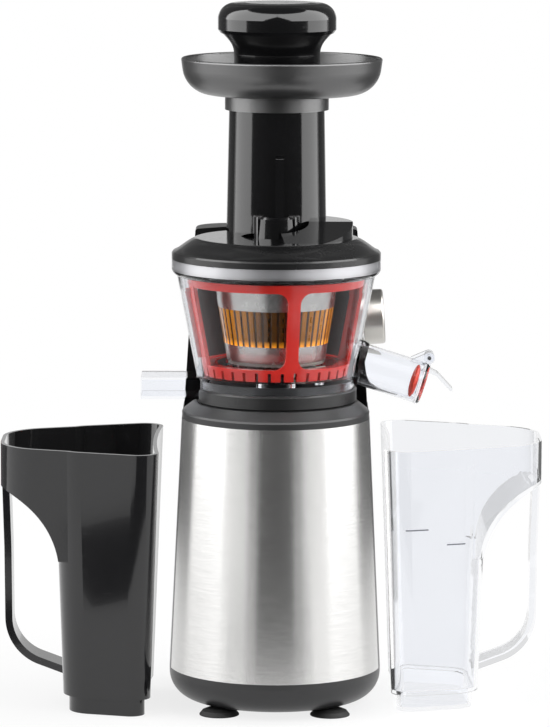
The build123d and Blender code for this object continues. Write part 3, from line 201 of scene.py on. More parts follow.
class Paint:
    """One material: a Principled shader and the nodes that vary it over the surface."""

    def __init__(self, name, constants=None):
        self.material = bpy.data.materials.new(name)
        self.material.use_nodes = True
        self.tree = self.material.node_tree
        self.shader = self.tree.nodes["Principled BSDF"]
        for socket, number in (constants or {}).items():
            self.shader.inputs[socket].default_value = number
        self.place = self.node("ShaderNodeTexCoord", out="Object")

    @classmethod
    def over(cls, material):
        """Goes on painting a material that is there already."""
        paint = cls.__new__(cls)
        paint.material = material
        paint.tree = material.node_tree
        paint.shader = paint.tree.nodes["Principled BSDF"]
        paint.place = paint.node("ShaderNodeTexCoord", out="Object")
        return paint

    def node(self, kind, settings=None, sockets=None, out=0):
        """Adds any node: its settings are set first, then the values or links of its sockets."""
        node = self.tree.nodes.new(kind)
        for name, setting in (settings or {}).items():
            setattr(node, name, setting)
        for socket, entry in (sockets or {}).items():
            plug(self.tree, node.inputs[socket], entry)
        return Socket(self.tree, node.outputs[out])

    def ramp(self, factor, *stops):
        """Colour ramp through (position, grey level) stops."""
        node = self.tree.nodes.new("ShaderNodeValToRGB")
        while len(node.color_ramp.elements) < len(stops):
            node.color_ramp.elements.new(1.0)
        for element, (position, level) in zip(node.color_ramp.elements, stops):
            element.position = position
            element.color = (level, level, level, 1.0)
        plug(self.tree, node.inputs[0], factor)
        return Socket(self.tree, node.outputs[0])

    def stretched(self, x, y, z, turned):
        """Object coordinates turned about Z and scaled along each axis."""
        return self.node("ShaderNodeMapping", None, {0: self.place, "Rotation": (0, 0, turned), "Scale": (x, y, z)})

    def axes(self, origin=(0.0, 0.0, 0.0)):
        """The x, y and z of Object coordinates about an origin."""
        moved = self.node("ShaderNodeVectorMath", {"operation": "SUBTRACT"}, {0: self.place, 1: origin})
        split = self.tree.nodes.new("ShaderNodeSeparateXYZ")
        plug(self.tree, split.inputs[0], moved)
        return [Socket(self.tree, output) for output in split.outputs]

    def round_axes(self, origin):
        """Angle, distance and height about an upright axis through origin."""
        x, y, z = self.axes(origin)
        return x.maths("ARCTAN2", y, x), (x * x + y * y) ** 0.5, z

    def wave(self, phase):
        """Sine of a phase in radians, brought to 0 to 1."""
        return phase.sine() * 0.5 + 0.5

    def vector(self, x, y, z):
        return self.node("ShaderNodeCombineXYZ", None, {0: x, 1: y, 2: z})

    def noise(self, place=None, scale=1.0, detail=2.0, roughness=0.5):
        return self.node("ShaderNodeTexNoise", None, {"Vector": place or self.place, "Scale": scale,
                                                      "Detail": detail, "Roughness": roughness})

    def mix(self, factor, first, second):
        """Colour between first and second."""
        return self.node("ShaderNodeMix", {"data_type": "RGBA"}, {0: factor, 6: first, 7: second}, out=2)

    def show(self, factor, second):
        """Lays a second shader over the material's own by a factor."""
        own = Socket(self.tree, self.shader.outputs[0])
        shown = self.node("ShaderNodeMixShader", None, {0: factor, 1: own, 2: second})
        plug(self.tree, self.tree.nodes["Material Output"].inputs["Surface"], shown)

    def set(self, socket, entry):
        plug(self.tree, self.shader.inputs[socket], entry)

    def bump(self, height, depth, strength=1.0):
        """Relief whose height runs from 0 to 1 over a depth in metres."""
        self.set("Normal", self.node("ShaderNodeBump", None, {"Height": height, "Distance": depth,
                                                              "Strength": strength}))


def tinted(colour, factor):
    """A colour made lighter or darker."""
    return tuple(min(1.0, part * factor) for part in colour)


def satin_plastic(name, colour, roughness, grain, ior=1.5):
    """Moulded plastic with a fine spark-eroded grain, slightly uneven in shade and sheen."""
    paint = Paint(name, {"IOR": ior})
    patches = paint.noise(scale=14.0, detail=3.0)
    speckle = paint.noise(scale=1.0 / grain, detail=3.0, roughness=0.65)
    paint.set("Base Color", paint.mix(patches * 0.6 + speckle * 0.4, tinted(colour, 0.84), tinted(colour, 1.16)))
    paint.set("Roughness", roughness - 0.05 + patches * 0.06 + speckle * 0.05)
    paint.bump(speckle, 0.00006)
    return paint.material


def gloss_plastic(name, colour, roughness=0.09, satin_below=0.0):
    """Polished plastic: faint flow waves, hairline rubs and a little dust that dulls it unevenly.

    Under the height satin_below the mould is sparked and the plastic stays satin.
    """
    paint = Paint(name, {"IOR": 1.52, "Coat Weight": 0.25, "Coat Roughness": 0.03})
    waves = paint.noise(scale=22.0, detail=1.0)
    hairs = paint.noise(paint.stretched(160.0, 160.0, 900.0, turned=0.5), detail=2.0)
    rubs = paint.ramp(hairs, (0.62, 0.0), (0.8, 1.0))
    paint.set("Base Color", paint.mix(waves * 0.7 + rubs * 0.3, tinted(colour, 0.9), tinted(colour, 1.3)))
    sheen = roughness + waves * 0.05 + rubs * 0.07
    if satin_below:
        sheen = sheen + (paint.axes()[2] < satin_below) * (0.25 - roughness)
    paint.set("Roughness", sheen)
    paint.bump(waves * 0.9 + rubs * 0.1, 0.00012, 0.5)
    return paint.material


def brushed_steel(name, colour, line, roughness=0.24):
    """Steel brushed round an upright axis: thin lines a few millimetres long in shade, sheen and relief."""
    paint = Paint(name, {"Metallic": 1.0, "Anisotropic": 0.75, "Anisotropic Rotation": 0.25})
    angle, _, height = paint.round_axes(BOWL_FOOT)
    along = 9.0
    fine = paint.noise(paint.vector(angle * along, 0.0, height / line), detail=4.0, roughness=0.7)
    coarse = paint.noise(paint.vector(angle * along * 0.3, 3.0, height / line * 0.35), detail=3.0)
    cloud = paint.noise(scale=9.0, detail=2.0)
    lines = fine * 0.65 + coarse * 0.35
    paint.set("Base Color", paint.mix(lines * 0.8 + cloud * 0.2, tinted(colour, 0.74), tinted(colour, 1.2)))
    paint.set("Roughness", roughness - 0.07 + lines * 0.14)
    paint.bump(lines, 0.00005, 0.55)
    return paint.material


def turned_metal(name, colour, origin, axis, line=0.0003, roughness=0.27):
    """Metal turned on a lathe: fine rings about an axis along X or Z."""
    paint = Paint(name, {"Metallic": 1.0})
    x, y, z = paint.axes(origin)
    across = (y * y + z * z) ** 0.5 if axis == "X" else (x * x + y * y) ** 0.5
    along = x if axis == "X" else z
    rings = paint.noise(paint.vector(across / line, along / line, 0.0), detail=3.0)
    smear = paint.noise(scale=60.0, detail=2.0)
    paint.set("Base Color", paint.mix(rings * 0.6 + smear * 0.4, tinted(colour, 0.85), tinted(colour, 1.12)))
    paint.set("Roughness", roughness - 0.06 + rings * 0.1 + smear * 0.04)
    paint.bump(rings, 0.00002, 0.5)
    return paint.material


def clear_plastic(name, colour, mirror=1.0):
    """Clear moulded plastic with slow flow waves and faint scuffs; mirror is how much of its shine is left."""
    paint = Paint(name, {"Transmission Weight": 1.0, "IOR": 1.47, "Specular Tint": (mirror, mirror, mirror, 1.0)})
    flow = paint.noise(scale=30.0, detail=1.5)
    hairs = paint.noise(paint.stretched(90.0, 90.0, 700.0, turned=0.4), detail=3.0)
    scuffs = paint.ramp(hairs, (0.6, 0.0), (0.85, 1.0))
    paint.set("Base Color", paint.mix(flow, tinted(colour, 0.985), tinted(colour, 1.01)))
    paint.set("Roughness", 0.02 + scuffs * 0.05)
    paint.bump(flow, 0.00008, 0.4)
    return paint.material


def bowl_plastic(name, colour):
    """Clear plastic whose thick rim is frosted and mirrors like dull silver."""
    material = clear_plastic(name, colour, mirror=0.15)
    paint = Paint.over(material)
    _, away, height = paint.round_axes(BOWL_FOOT)
    cloud = paint.noise(scale=35.0, detail=3.0)
    band = (height > RIM_LOW) * (away > RIM_INSIDE)
    silver = paint.node("ShaderNodeBsdfPrincipled", None,
                        {"Metallic": 1.0, "Base Color": paint.mix(cloud, (0.56, 0.56, 0.58), (0.7, 0.7, 0.72)),
                         "Roughness": 0.3 + cloud * 0.1})
    paint.show(band * 0.62, silver)
    return material


def cage_plastic(name, colour):
    """Red plastic that lets a little light in, glossy, with darker flow marks."""
    paint = Paint(name, {"IOR": 1.5, "Subsurface Weight": 0.12, "Coat Weight": 0.3})
    flow = paint.noise(scale=45.0, detail=3.0)
    specks = paint.noise(scale=800.0, detail=1.0)
    paint.set("Base Color", paint.mix(flow * 0.8 + specks * 0.2, tinted(colour, 0.72), tinted(colour, 1.25)))
    paint.set("Roughness", 0.2 + flow * 0.1)
    paint.bump(flow * 0.8 + specks * 0.2, 0.00008, 0.5)
    return paint.material


def amber_plastic(name, colour):
    """Amber plastic of the strainer, with painted light: painted shade where it faces the front, painted light and a
    painted glow (emission) at the sides and the lower edge.
    """
    paint = Paint(name, {"IOR": 1.5, "Coat Weight": 0.4, "Emission Strength": 1.0})
    x = paint.axes()[0]
    angle, _, height = paint.round_axes(BOWL_FOOT)
    ribs = paint.ramp(paint.wave(angle * 46.0), (0.12, 0.0), (0.4, 1.0))
    drift = paint.noise(paint.vector(angle * 7.0, 0.0, height * 25.0), detail=2.0)
    # painted light: brighter towards the sides, darker where the frame faces the front
    side = paint.ramp((x * x) ** 0.5 * 30.0, (0.25, 0.0), (0.95, 1.0))
    # painted glow along the lower edge
    foot = paint.ramp((height - AMBER_LOW) * 250.0, (0.0, 1.0), (1.0, 0.0))
    band = height > AMBER_LOW - 0.0006  # the ring under the lower mesh stays grey
    # painted light and shade over the ribs: dark in front, bright at the sides and the lower edge
    lit = band * ribs * (0.03 + side * 0.4 + foot * 0.75) * (drift + 0.35)
    amber = paint.mix(lit, tinted(colour, 0.035), tinted(colour, 0.8))
    paint.set("Base Color", paint.mix(band, (0.2, 0.185, 0.165), amber))
    # painted glow: the frame gives off light by emission, though it is no lamp
    glow = (colour[0] * 0.85, colour[1] * 0.95, colour[2])
    paint.set("Emission Color", paint.mix(lit, (0.0, 0.0, 0.0), glow))
    paint.set("Roughness", 0.16 + drift * 0.12)
    paint.bump(ribs, 0.0002, 0.5)
    return paint.material


def strainer_mesh(name, colour, pitch=0.0011):
    """Perforated steel sheet: staggered rows of fine dark holes with bright edges."""
    paint = Paint(name, {"Metallic": 1.0})
    angle, _, height = paint.round_axes(BOWL_FOOT)
    radius = 0.034  # of the strainer half way up
    across = (angle * (2 * pi * radius / pitch)).sine()
    rows = (height * (2 * pi / pitch)).sine()
    holes = paint.ramp(across * rows * 0.5 + 0.5, (0.62, 0.0), (0.8, 1.0))
    cloud = paint.noise(scale=120.0, detail=3.0)
    sheet = paint.mix(cloud, tinted(colour, 0.8), tinted(colour, 1.15))
    paint.set("Base Color", paint.mix(holes, sheet, tinted(colour, 0.16)))
    paint.set("Roughness", 0.2 + cloud * 0.12 + holes * 0.2)
    paint.bump(1.0 - holes, 0.00005, 0.5)
    return paint.material


def soft_rubber(name, colour, roughness=0.6):
    """Silicone or rubber: matt, slightly blotchy, with a fine bloom."""
    paint = Paint(name, {"IOR": 1.42})
    bloom = paint.noise(scale=70.0, detail=4.0, roughness=0.6)
    grain = paint.noise(scale=1800.0, detail=1.0)
    paint.set("Base Color", paint.mix(bloom, tinted(colour, 0.75), tinted(colour, 1.25)))
    paint.set("Roughness", roughness + bloom * 0.12)
    paint.bump(grain * 0.7 + bloom * 0.3, 0.00005)
    return paint.material


def dress(material, *nodes):
    """Gives CAD nodes a finish."""
    for node in nodes:
        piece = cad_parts[node]
        piece.data.materials.clear()
        piece.data.materials.append(material)


# ------------------------------------------------------------------ pieces
def grid_piece(name, points, closed=False, capped=False):
    """Mesh of a grid of points, rows by columns by xyz.

    closed joins the last column to the first; capped closes the first and the last row with one face each.
    """
    rows, columns = points.shape[:2]
    index = np.arange(rows * columns).reshape(rows, columns)
    caps = [index[0, ::-1].tolist(), index[-1].tolist()] if capped else []
    if closed:
        index = np.hstack([index, index[:, :1]])
    faces = np.stack([index[:-1, :-1], index[:-1, 1:], index[1:, 1:], index[1:, :-1]], axis=-1).reshape(-1, 4)
    mesh = bpy.data.meshes.new(name)
    mesh.from_pydata(points.reshape(-1, 3).tolist(), [], faces.tolist() + caps)
    mesh.shade_smooth()
    piece = bpy.data.objects.new(name, mesh)
    bpy.context.scene.collection.objects.link(piece)
    return piece


def solid_piece(name, points, body, material, sharp=None):
    """Closed solid from a grid of points, its faces turned outward, riding a body; edges over sharp stay crisp."""
    piece = grid_piece(name, points, closed=True, capped=True)
    solid = bmesh.new()
    solid.from_mesh(piece.data)
    bmesh.ops.recalc_face_normals(solid, faces=solid.faces)
    solid.to_mesh(piece.data)
    solid.free()
    if sharp:
        piece.data.set_sharp_from_angle(angle=sharp)
    piece.data.materials.append(material)
    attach(piece, body)
    return piece


def bar_piece(name, centres, outward, upward, section, body, material):
    """Solid bar carried along a path, closed by a cap at each end.

    point[i, j] = centres[i] + section[i, j, 0] * outward[i] + section[i, j, 1] * upward, the section being a loop.
    """
    points = centres[:, None] + section[..., :1] * outward[:, None] + section[..., 1:] * np.array(upward, float)
    return solid_piece(name, points, body, material, sharp=radians(40.0))


def round_path(angle, radius, height):
    """Points at (radius, angle, height) about the auger's axis, and the outward direction at each."""
    outward = np.stack([np.cos(angle), np.sin(angle), 0 * angle], axis=-1)
    lifted = np.stack([0 * angle, 0 * angle, height + 0 * angle], axis=-1)
    return np.array(BOWL_FOOT) + radius * outward + lifted, outward


def pairs(*columns):
    """Points of a loop, side by side: each column is (first, second) for every step of the path."""
    return np.stack([np.stack(np.broadcast_arrays(*column), axis=-1) for column in columns], axis=1)


def finish_settings():
    return bpy.context.scene.juicer_finish


class JUICER_OT_jacket(bpy.types.Operator):
    """Brushed steel jacket round the front of the motor base"""

    bl_idname = "juicer.jacket"
    bl_label = "Steel jacket"

    def execute(self, context):
        finish = finish_settings()
        dress(brushed_steel("brushed_jacket", finish.steel, finish.brush_line), "steel_jacket")
        return {"FINISHED"}


class JUICER_OT_base(bpy.types.Operator):
    """Plastic shells of the motor base, its rear tower, feet, screws and cord gland"""

    bl_idname = "juicer.base"
    bl_label = "Base shells"

    def execute(self, context):
        finish = finish_settings()
        dress(satin_plastic("satin_rear", finish.satin, 0.3, finish.grain), "rear_housing", "tower_housing",
              "tower_cap", "bowl_collar")
        dress(satin_plastic("grey_shells", finish.grey, 0.34, finish.grain), "shoulder_cover", "base_pan")
        dress(soft_rubber("foot_rubber", (0.012, 0.012, 0.012)), "suction_feet", "cord_gland")
        dress(turned_metal("zinc_screws", (0.5, 0.5, 0.5), (0, 0, 0), "Z"), "bottom_screws")
        return {"FINISHED"}


class JUICER_OT_dial(bpy.types.Operator):
    """Satin metal power dial on the right of the tower"""

    bl_idname = "juicer.dial"
    bl_label = "Power dial"

    def execute(self, context):
        dress(turned_metal("dial_metal", finish_settings().dial, middle("power_dial"), "X", roughness=0.3),
              "power_dial", "dial_shaft")
        return {"FINISHED"}


class JUICER_OT_drive(bpy.types.Operator):
    """Motor, gears, shafts, pins and board"""

    bl_idname = "juicer.drive"
    bl_label = "Drive train"

    def execute(self, context):
        dress(turned_metal("turned_steel", (0.55, 0.55, 0.56), BOWL_FOOT, "Z"), "motor_can", "motor_shaft",
              "motor_frame", "output_shaft", "output_bearing", "lay_pin", "auger_drive", "idler_pin", "cap_hinge_pin")
        dress(satin_plastic("white_nylon", (0.72, 0.70, 0.64), 0.45, 0.0012), "motor_end_plate", "gearbox_case",
              "gearbox_lid", "lay_gear", "output_wheel", "cooling_fan", "switch_body", "idler_gear")
        dress(satin_plastic("magnet_iron", (0.08, 0.08, 0.085), 0.55, 0.0008), "motor_magnets", "armature")
        dress(turned_metal("bearing_bronze", (0.62, 0.40, 0.20), BOWL_FOOT, "Z"), "motor_bearings", "auger_bush")
        dress(turned_metal("copper_bars", (0.72, 0.36, 0.2), BOWL_FOOT, "Z"), "commutator")
        dress(satin_plastic("board_laminate", (0.02, 0.12, 0.05), 0.4, 0.0015), "control_board")
        return {"FINISHED"}


class JUICER_OT_bowl(bpy.types.Operator):
    """Clear juicing bowl with its chute and spout, hinged cap and seals"""

    bl_idname = "juicer.bowl"
    bl_label = "Juicing bowl"

    def execute(self, context):
        finish = finish_settings()
        dress(bowl_plastic("clear_bowl", finish.clear), "juice_bowl")
        dress(clear_plastic("clear_cap", finish.clear), "juice_cap")
        for node in ("juice_bowl", "juice_cap"):
            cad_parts[node].visible_shadow = False
        self.add_seal(soft_rubber("red_silicone", (0.62, 0.05, 0.025), 0.5))
        dress(soft_rubber("grey_silicone", (0.28, 0.28, 0.29), 0.5), "bowl_seal", "lid_seal")
        return {"FINISHED"}

    def add_seal(self, silicone):
        """Red seal of the juice cap, a thin lens across the spout.

        point = end + (-3.2 + 2.2 cos t) mm * along + 10.4 sin t mm * (cos a * up + sin a * across), round the spout.
        """
        along = np.array([cos(SPOUT_SLOPE), 0.0, -sin(SPOUT_SLOPE)])
        up = np.array([sin(SPOUT_SLOPE), 0.0, cos(SPOUT_SLOPE)])
        across = np.array([0.0, 1.0, 0.0])
        end = np.array(SPOUT_ROOT) + SPOUT_LENGTH * along
        bow = np.linspace(0.04, pi - 0.04, 25)[:, None, None]
        turn = np.linspace(0.0, 2 * pi, 64, endpoint=False)[None, :, None]
        spoke = np.cos(turn) * up + np.sin(turn) * across
        points = end + (-0.0032 + 0.0022 * np.cos(bow)) * along + 0.0104 * np.sin(bow) * spoke
        seal = solid_piece("seal_lens", points, "spout_cap", silicone)
        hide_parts("cap_seal")


class JUICER_OT_press(bpy.types.Operator):
    """Strainer, spinning brush cage with its wipers, and the press screw"""

    bl_idname = "juicer.press"
    bl_label = "Press parts"

    def execute(self, context):
        finish = finish_settings()
        cage = cage_plastic("cage_red", finish.cage)
        dress(cage, "brush_cage")
        silicone = soft_rubber("wiper_silicone", (0.42, 0.03, 0.03), 0.4)
        for turn, inside, name in ((0.0, True, "front"), (180.0, True, "back"), (90.0, False, "right"),
                                   (270.0, False, "left")):
            self.add_wiper(silicone, CAGE_TURN + turn, inside, name)
        dress(amber_plastic("amber_frame", finish.amber), "strainer_frame")
        dress(strainer_mesh("steel_mesh", (0.62, 0.61, 0.58)), "strainer_mesh_upper", "strainer_mesh_lower")
        screw = satin_plastic("screw_plastic", finish.satin, 0.3, 0.001)
        dress(screw, "auger", "drive_coupling")
        for turn, side in ((90.0, "right"), (270.0, "left")):
            self.widen_post(cage, CAGE_TURN + turn, side)
        for start, name in ((0.0, "first"), (180.0, "second")):
            self.add_flight(screw, start, name)
        return {"FINISHED"}

    def add_wiper(self, silicone, turn, inside, name):
        """Silicone blade 1.6 mm thick on a cage post: between the strainer's cone and the cage, or cage and bowl.

        The section runs from the inner to the outer cone at each height z and is carried straight up.
        """
        height = np.linspace(0.218, 0.2605, 22)
        strainer = np.interp(height, *STRAINER_CONE) + 0.0004
        cage = np.interp(height, *CAGE_CONE)
        bowl = np.interp(height, *BOWL_CONE) - 0.00295
        near, far = (strainer, cage - 0.0022) if inside else (cage, bowl)
        half = 0.0008
        section = pairs((near, -half), (far, -half), (far, half), (near, half))
        path, outward = round_path(radians(turn) + 0 * height, 0.0, height)
        side = (-sin(radians(turn)), cos(radians(turn)), 0.0)
        blade = bar_piece("wiper_" + name, path, outward, side, section, "brush", silicone)
        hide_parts("wiper_blades")

    def widen_post(self, cage, turn, side):
        """Broad side post of the cage: a plate 23 mm wide that follows the cone r(z) of the cage.

        point = (r(z) + d, a, z), the loop of d and a going once round the plate, d from -2 mm to 0.15 mm.
        """
        height = np.linspace(0.2125, 0.2635, 24)
        radius = np.interp(height, *CAGE_CONE)[:, None]
        share = np.linspace(-1.0, 1.0, 13)
        loop_angle = np.concatenate([share, share[::-1]])
        loop_depth = np.concatenate([np.full(13, 0.00015), np.full(13, -0.002)])
        angle = radians(turn) + 0.0115 / radius * loop_angle
        reach = radius + loop_depth
        points = np.stack([reach * np.cos(angle), BOWL_Y + reach * np.sin(angle), height[:, None] + 0 * angle], axis=-1)
        solid_piece("cage_post_" + side, points, "brush", cage, sharp=radians(40.0))

    def add_flight(self, screw, start, name):
        """One of the screw's two flights: a helix of 19 mm pitch whose section tapers outward.

        At turn t the section runs from inside the core, radius c(z) - 1 mm and 5.2 mm thick, to 3.1 mm inside the
        strainer's cone, where it is 2.6 mm thick and round.
        """
        height = 0.2189 + 0.0428 * np.linspace(0.0, 1.0, 221)
        angle = radians(start) + 2 * pi * height / 0.019
        core = np.interp(height, *CORE_CONE) - 0.001
        rim = np.interp(height, *STRAINER_CONE) - 0.0031
        root, tip = 0.0026, 0.0013
        path, outward = round_path(angle, 0.0, height)
        nose = np.radians(np.linspace(-90.0, 90.0, 7))
        crest = [(rim - tip + tip * across, tip * rise) for across, rise in zip(np.cos(nose), np.sin(nose))]
        section = pairs((core, -root), *crest, (core, root))
        bar_piece("flight_" + name, path, outward, (0, 0, 1), section, "screw", screw)


class JUICER_OT_lid(bpy.types.Operator):
    """Black lid with its feed tube"""

    bl_idname = "juicer.lid"
    bl_label = "Lid and feed tube"

    def execute(self, context):
        gloss = gloss_plastic("lid_gloss", finish_settings().gloss, satin_below=DECK_Z - 0.0004)
        dress(gloss, "lid")
        self.add_collar(gloss)
        return {"FINISHED"}

    def add_collar(self, gloss):
        """Low wall round the boss, open in front: a 1.8 mm section with a round top, carried over 256 degrees."""
        steps = 97
        half, height, sunk = 0.0009, 0.0126, 0.0006
        angle = np.radians(np.linspace(52.0, 308.0, steps) - 90.0)
        path, outward = round_path(angle, 0.0136, DECK_Z)
        top = np.radians(np.linspace(0.0, 180.0, 9))
        crown = np.stack([half * np.cos(top), height + half * np.sin(top)], axis=-1)
        loop = np.vstack([[[-half, -sunk], [half, -sunk]], crown])
        section = np.tile(loop, (steps, 1, 1))
        bar_piece("boss_collar", path, outward, (0, 0, 1), section, "lid_unit", gloss)


class JUICER_OT_feed(bpy.types.Operator):
    """Feed tray and food pusher"""

    bl_idname = "juicer.feed"
    bl_label = "Tray and pusher"

    def execute(self, context):
        finish = finish_settings()
        dress(satin_plastic("tray_satin", tinted(finish.satin, 1.3), 0.3, finish.grain, ior=2.1), "feed_tray")
        dress(gloss_plastic("pusher_gloss", finish.gloss), "pusher_stem", "pusher_cap")
        return {"FINISHED"}


class JUICER_OT_pulp_jug(bpy.types.Operator):
    """Black pulp container"""

    bl_idname = "juicer.pulp_jug"
    bl_label = "Pulp container"

    def execute(self, context):
        dress(gloss_plastic("jug_gloss", tinted(finish_settings().gloss, 1.8), 0.1), "pulp_container")
        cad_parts["pulp_container"].visible_glossy = False
        return {"FINISHED"}


class JUICER_OT_juice_jug(bpy.types.Operator):
    """Clear juice jug"""

    bl_idname = "juicer.juice_jug"
    bl_label = "Juice jug"

    def execute(self, context):
        dress(clear_plastic("clear_jug", finish_settings().clear), "juice_jug")
        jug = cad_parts["juice_jug"]
        jug.visible_glossy = False
        jug.visible_shadow = False
        ink = satin_plastic("mark_ink", (0.16, 0.17, 0.2), 0.4, 0.0004)
        for name, start, stop, height in (("long", 0.0795, 0.0935, 0.1165), ("short", 0.105, 0.1165, 0.1065)):
            self.add_mark(jug, ink, name, start, stop, height)
        return {"FINISHED"}

    def add_mark(self, jug, ink, name, start, stop, height):
        """Raised level mark on the jug's front face: a flat bar 0.8 mm high, carried along x where the face stands."""
        steps = 15
        inward = Vector((0.0, 1.0, 0.0))
        across = np.linspace(start, stop, steps).tolist()
        path = np.array([list(jug.ray_cast(Vector((x, -0.4, height)), inward)[1]) for x in across])
        outward = np.tile([0.0, -1.0, 0.0], (steps, 1))
        back, front, half = -0.0001, 0.0002, 0.0004
        section = np.tile([[back, -half], [front, -half], [front, half], [back, half]], (steps, 1, 1))
        mark = bar_piece("level_mark_" + name, path, outward, (0, 0, 1), section, "clear_jug", ink)
        mark.visible_shadow = False


# ------------------------------------------------------------------ studio
def emission(name, level):
    """Plain glow of one grey level."""
    paint = Paint(name)
    paint.set("Base Color", (0.0, 0.0, 0.0))
    paint.set("Emission Color", (level, level, level))
    paint.set("Emission Strength", 1.0)
    paint.set("Specular IOR Level", 0.0)
    return paint.material


def backdrop_rays(tree):
    """1 for the rays that see the backdrop: camera, glossy and transmission rays."""
    rays = tree.nodes.new("ShaderNodeLightPath")
    seen = [Socket(tree, rays.outputs[name]) for name in ("Is Camera Ray", "Is Glossy Ray", "Is Transmission Ray")]
    return seen[0].maths("MAXIMUM", seen[0], seen[1].maths("MAXIMUM", seen[1], seen[2]))


class JUICER_OT_studio(bpy.types.Operator):
    """Pale floor, white surroundings, two softboxes, a dark card and the camera"""

    bl_idname = "juicer.studio"
    bl_label = "Studio"

    def execute(self, context):
        studio = context.scene.juicer_studio
        self.light_sky(studio)
        self.lay_floor()
        for side in (-1, 1):
            self.hang_softbox(side, studio.softbox)
        self.stand_cards(studio)
        self.place_camera(studio)
        context.scene.view_settings.view_transform = "Standard"
        return {"FINISHED"}

    def light_sky(self, studio):
        """White where the backdrop is seen, and a softer level where it lights matt surfaces."""
        world = bpy.data.worlds.new("studio_sky")
        bpy.context.scene.world = world
        world.use_nodes = True
        tree = world.node_tree
        strength = backdrop_rays(tree) * (1.0 - studio.fill) + studio.fill
        background = tree.nodes["Background"]
        background.inputs["Color"].default_value = (1.0, 1.0, 1.0, 1.0)
        plug(tree, background.inputs["Strength"], strength)

    def lay_floor(self):
        """Wide floor whose own white is laid over its lit colour, so that a soft shadow stays."""
        half = 20.0
        sheet = np.array([[[-half, -half, 0], [half, -half, 0]], [[-half, half, 0], [half, half, 0]]], float)
        floor = grid_piece("floor", sheet)
        paint = Paint("floor_white", {"Roughness": 0.9})
        tone = paint.noise(scale=1.2, detail=1.0)
        paint.set("Base Color", paint.mix(tone, (0.93, 0.93, 0.93), (0.95, 0.95, 0.95)))
        paint.set("Specular IOR Level", 0.0)
        glow = paint.node("ShaderNodeEmission", None, {"Color": (1.0, 1.0, 1.0), "Strength": 1.0})
        _, away, _ = paint.round_axes((0.0, 0.0, 0.0))
        paint.show(backdrop_rays(paint.tree) * paint.ramp(away, (0.25, 0.8), (0.9, 1.0)), glow)
        floor.data.materials.append(paint.material)

    def hang_softbox(self, side, power):
        """Large lamp beside the juicer that gloss and metal mirror as a broad band."""
        lamp = bpy.data.lights.new("softbox", "AREA")
        lamp.shape = "RECTANGLE"
        lamp.size = 2.3
        lamp.size_y = 2.2
        lamp.energy = power
        box = bpy.data.objects.new("softbox_right" if side > 0 else "softbox_left", lamp)
        bpy.context.scene.collection.objects.link(box)
        turned = radians(83.0)
        away, height = 1.65, 1.1
        box.location = (side * away * sin(turned), -away * cos(turned), height)
        box.rotation_euler = (Vector((0, 0, 0.45)) - box.location).to_track_quat("-Z", "Y").to_euler()
        box.visible_camera = False
        box.visible_transmission = False

    def stand_cards(self, studio):
        """Cards and boxes round the juicer that only reflections see.

        All stand on one sphere about the bowl, or lie just above the floor. Directions are degrees of azimuth a from
        the front, right positive, and of elevation e. The front card runs from -w(e) to w(e).
        """
        rise = np.linspace(CARD_FOOT, CARD_TOP, 60)
        width = np.interp(rise, (-5.0, -3.0, 8.0, 12.0, 45.0), (31.0, 62.0, 62.0, 36.0, 0.0))
        self.card("front_card", studio.front, rise, -width, width)
        for side, name in ((-1, "left"), (1, "right")):
            back = np.interp(rise, (-3.6, -2.8), (110.0, 118.0))
            self.card("back_card_" + name, studio.back, rise, side * back, side * 160.0, behind=True)
            self.card("low_box_" + name, studio.low, np.linspace(CARD_FOOT, -3.3, 6), side * 31.5, side * 66.0)
            high = np.linspace(12.0, CARD_TOP, 40)
            arch = np.interp(high, (12.0, 45.0), (36.5, 0.5))
            self.card("top_box_" + name, studio.top, high, side * arch, side * 117.5)
        self.card("low_back", 0.75, np.linspace(CARD_FOOT, 14.0, 12), 160.5, 199.5, behind=True)
        self.card("high_back", 0.12, np.linspace(14.0, CARD_TOP, 20), 160.5, 199.5, behind=True)
        self.card("roof", 0.12, np.linspace(CARD_TOP + 0.5, 90.0, 12), -180.0, 180.0)
        self.floor_card("floor_card", studio.front, (-50, -35, -20.5, -20, 0, 20, 20.5, 30, 38), 0.27,
                        (0.41,) * 3 + (CARD_FLOOR,) * 3 + (0.5,) * 3)
        for side, name in ((-1, "left"), (1, "right")):
            sector = np.linspace(110.0 - side * 4.0, 160.0, 9) * side
            self.floor_card("back_floor_" + name, studio.back, sector, 0.65, (CARD_FLOOR,) * 9, behind=True)

    def card(self, name, level, rise, start, stop, behind=False):
        """One card: point = centre + radius * (sin a cos e, -cos a cos e, sin e), a from start(e) to stop(e)."""
        start, stop = (edge + 0 * rise[:, None] for edge in (np.reshape(start, (-1, 1)), np.reshape(stop, (-1, 1))))
        azimuth = np.radians(start + (stop - start) * np.linspace(0.0, 1.0, 37))
        elevation = np.radians(rise)[:, None]
        ray = np.stack([np.sin(azimuth) * np.cos(elevation), -np.cos(azimuth) * np.cos(elevation),
                        np.sin(elevation) + 0 * azimuth], axis=-1)
        self.reflect_only(grid_piece(name, CARD_SPHERE * ray + np.array(CARD_CENTRE)), level, behind)

    def floor_card(self, name, level, azimuth, near, reach, behind=False):
        """Sheet just above the floor: point = (r sin a, -r cos a, 0.5 mm), r from near out to reach(a)."""
        azimuth = np.radians(np.array(azimuth, float))
        away = near + (np.array(reach) - near) * np.linspace(0.0, 1.0, 9)[:, None]
        points = np.stack([away * np.sin(azimuth), BOWL_Y - away * np.cos(azimuth), 0.0005 + 0 * away], axis=-1)
        self.reflect_only(grid_piece(name, points), level, behind)

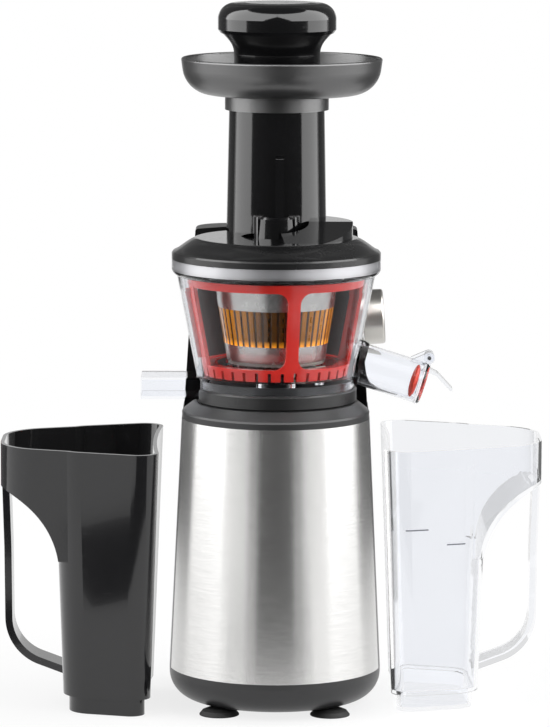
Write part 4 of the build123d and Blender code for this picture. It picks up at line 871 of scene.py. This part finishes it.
    def reflect_only(self, card, level, behind=False):
        """Hides a card from all but reflections; one behind the juicer isn't seen through clear plastic either."""
        card.data.materials.append(emission(card.name + "_glow", level))
        for kind in ("camera", "diffuse", "shadow", "volume_scatter") + ("transmission",) * behind:
            setattr(card, "visible_" + kind, False)

    def place_camera(self, studio):
        """Long lens from in front and a little above."""
        lens = bpy.data.cameras.new("view")
        lens.sensor_fit = "HORIZONTAL"
        lens.sensor_width = 36.0
        lens.lens = studio.lens
        lens.shift_x = -0.9 / 550.0  # share of the render's width
        lens.clip_end = 100.0
        camera = bpy.data.objects.new("view", lens)
        bpy.context.scene.collection.objects.link(camera)
        camera.location = (0.0, BOWL_Y - studio.distance, studio.height)
        aim = Vector((0.0, BOWL_Y, studio.aim))
        roll = Quaternion((0.0, 0.0, 1.0), radians(0.22))
        camera.rotation_euler = ((aim - camera.location).to_track_quat("-Z", "Y") @ roll).to_euler()
        bpy.context.scene.camera = camera


OPERATORS = (JUICER_OT_jacket, JUICER_OT_base, JUICER_OT_dial, JUICER_OT_drive, JUICER_OT_bowl, JUICER_OT_press,
             JUICER_OT_lid, JUICER_OT_feed, JUICER_OT_pulp_jug, JUICER_OT_juice_jug, JUICER_OT_studio)


class JUICER_PT_panel(bpy.types.Panel):
    """Lists the juicer's pieces"""

    bl_label = "Juicer"
    bl_idname = "JUICER_PT_panel"
    bl_space_type = "VIEW_3D"
    bl_region_type = "UI"
    bl_category = "Juicer"

    def draw(self, context):
        for operator in OPERATORS:
            self.layout.operator(operator.bl_idname)
        for settings in (context.scene.juicer_finish, context.scene.juicer_studio):
            for name in type(settings).__annotations__:
                self.layout.prop(settings, name)


CLASSES = (FinishSettings, StudioSettings, *OPERATORS, JUICER_PT_panel)


def register():
    for one in CLASSES:
        bpy.utils.register_class(one)
    bpy.types.Scene.juicer_finish = PointerProperty(type=FinishSettings)
    bpy.types.Scene.juicer_studio = PointerProperty(type=StudioSettings)


def unregister():
    del bpy.types.Scene.juicer_finish
    del bpy.types.Scene.juicer_studio
    for one in reversed(CLASSES):
        bpy.utils.unregister_class(one)


def main():
    register()
    for operator in OPERATORS:
        group, name = operator.bl_idname.split(".")
        getattr(getattr(bpy.ops, group), name)()


if __name__ == "__main__":
    main()
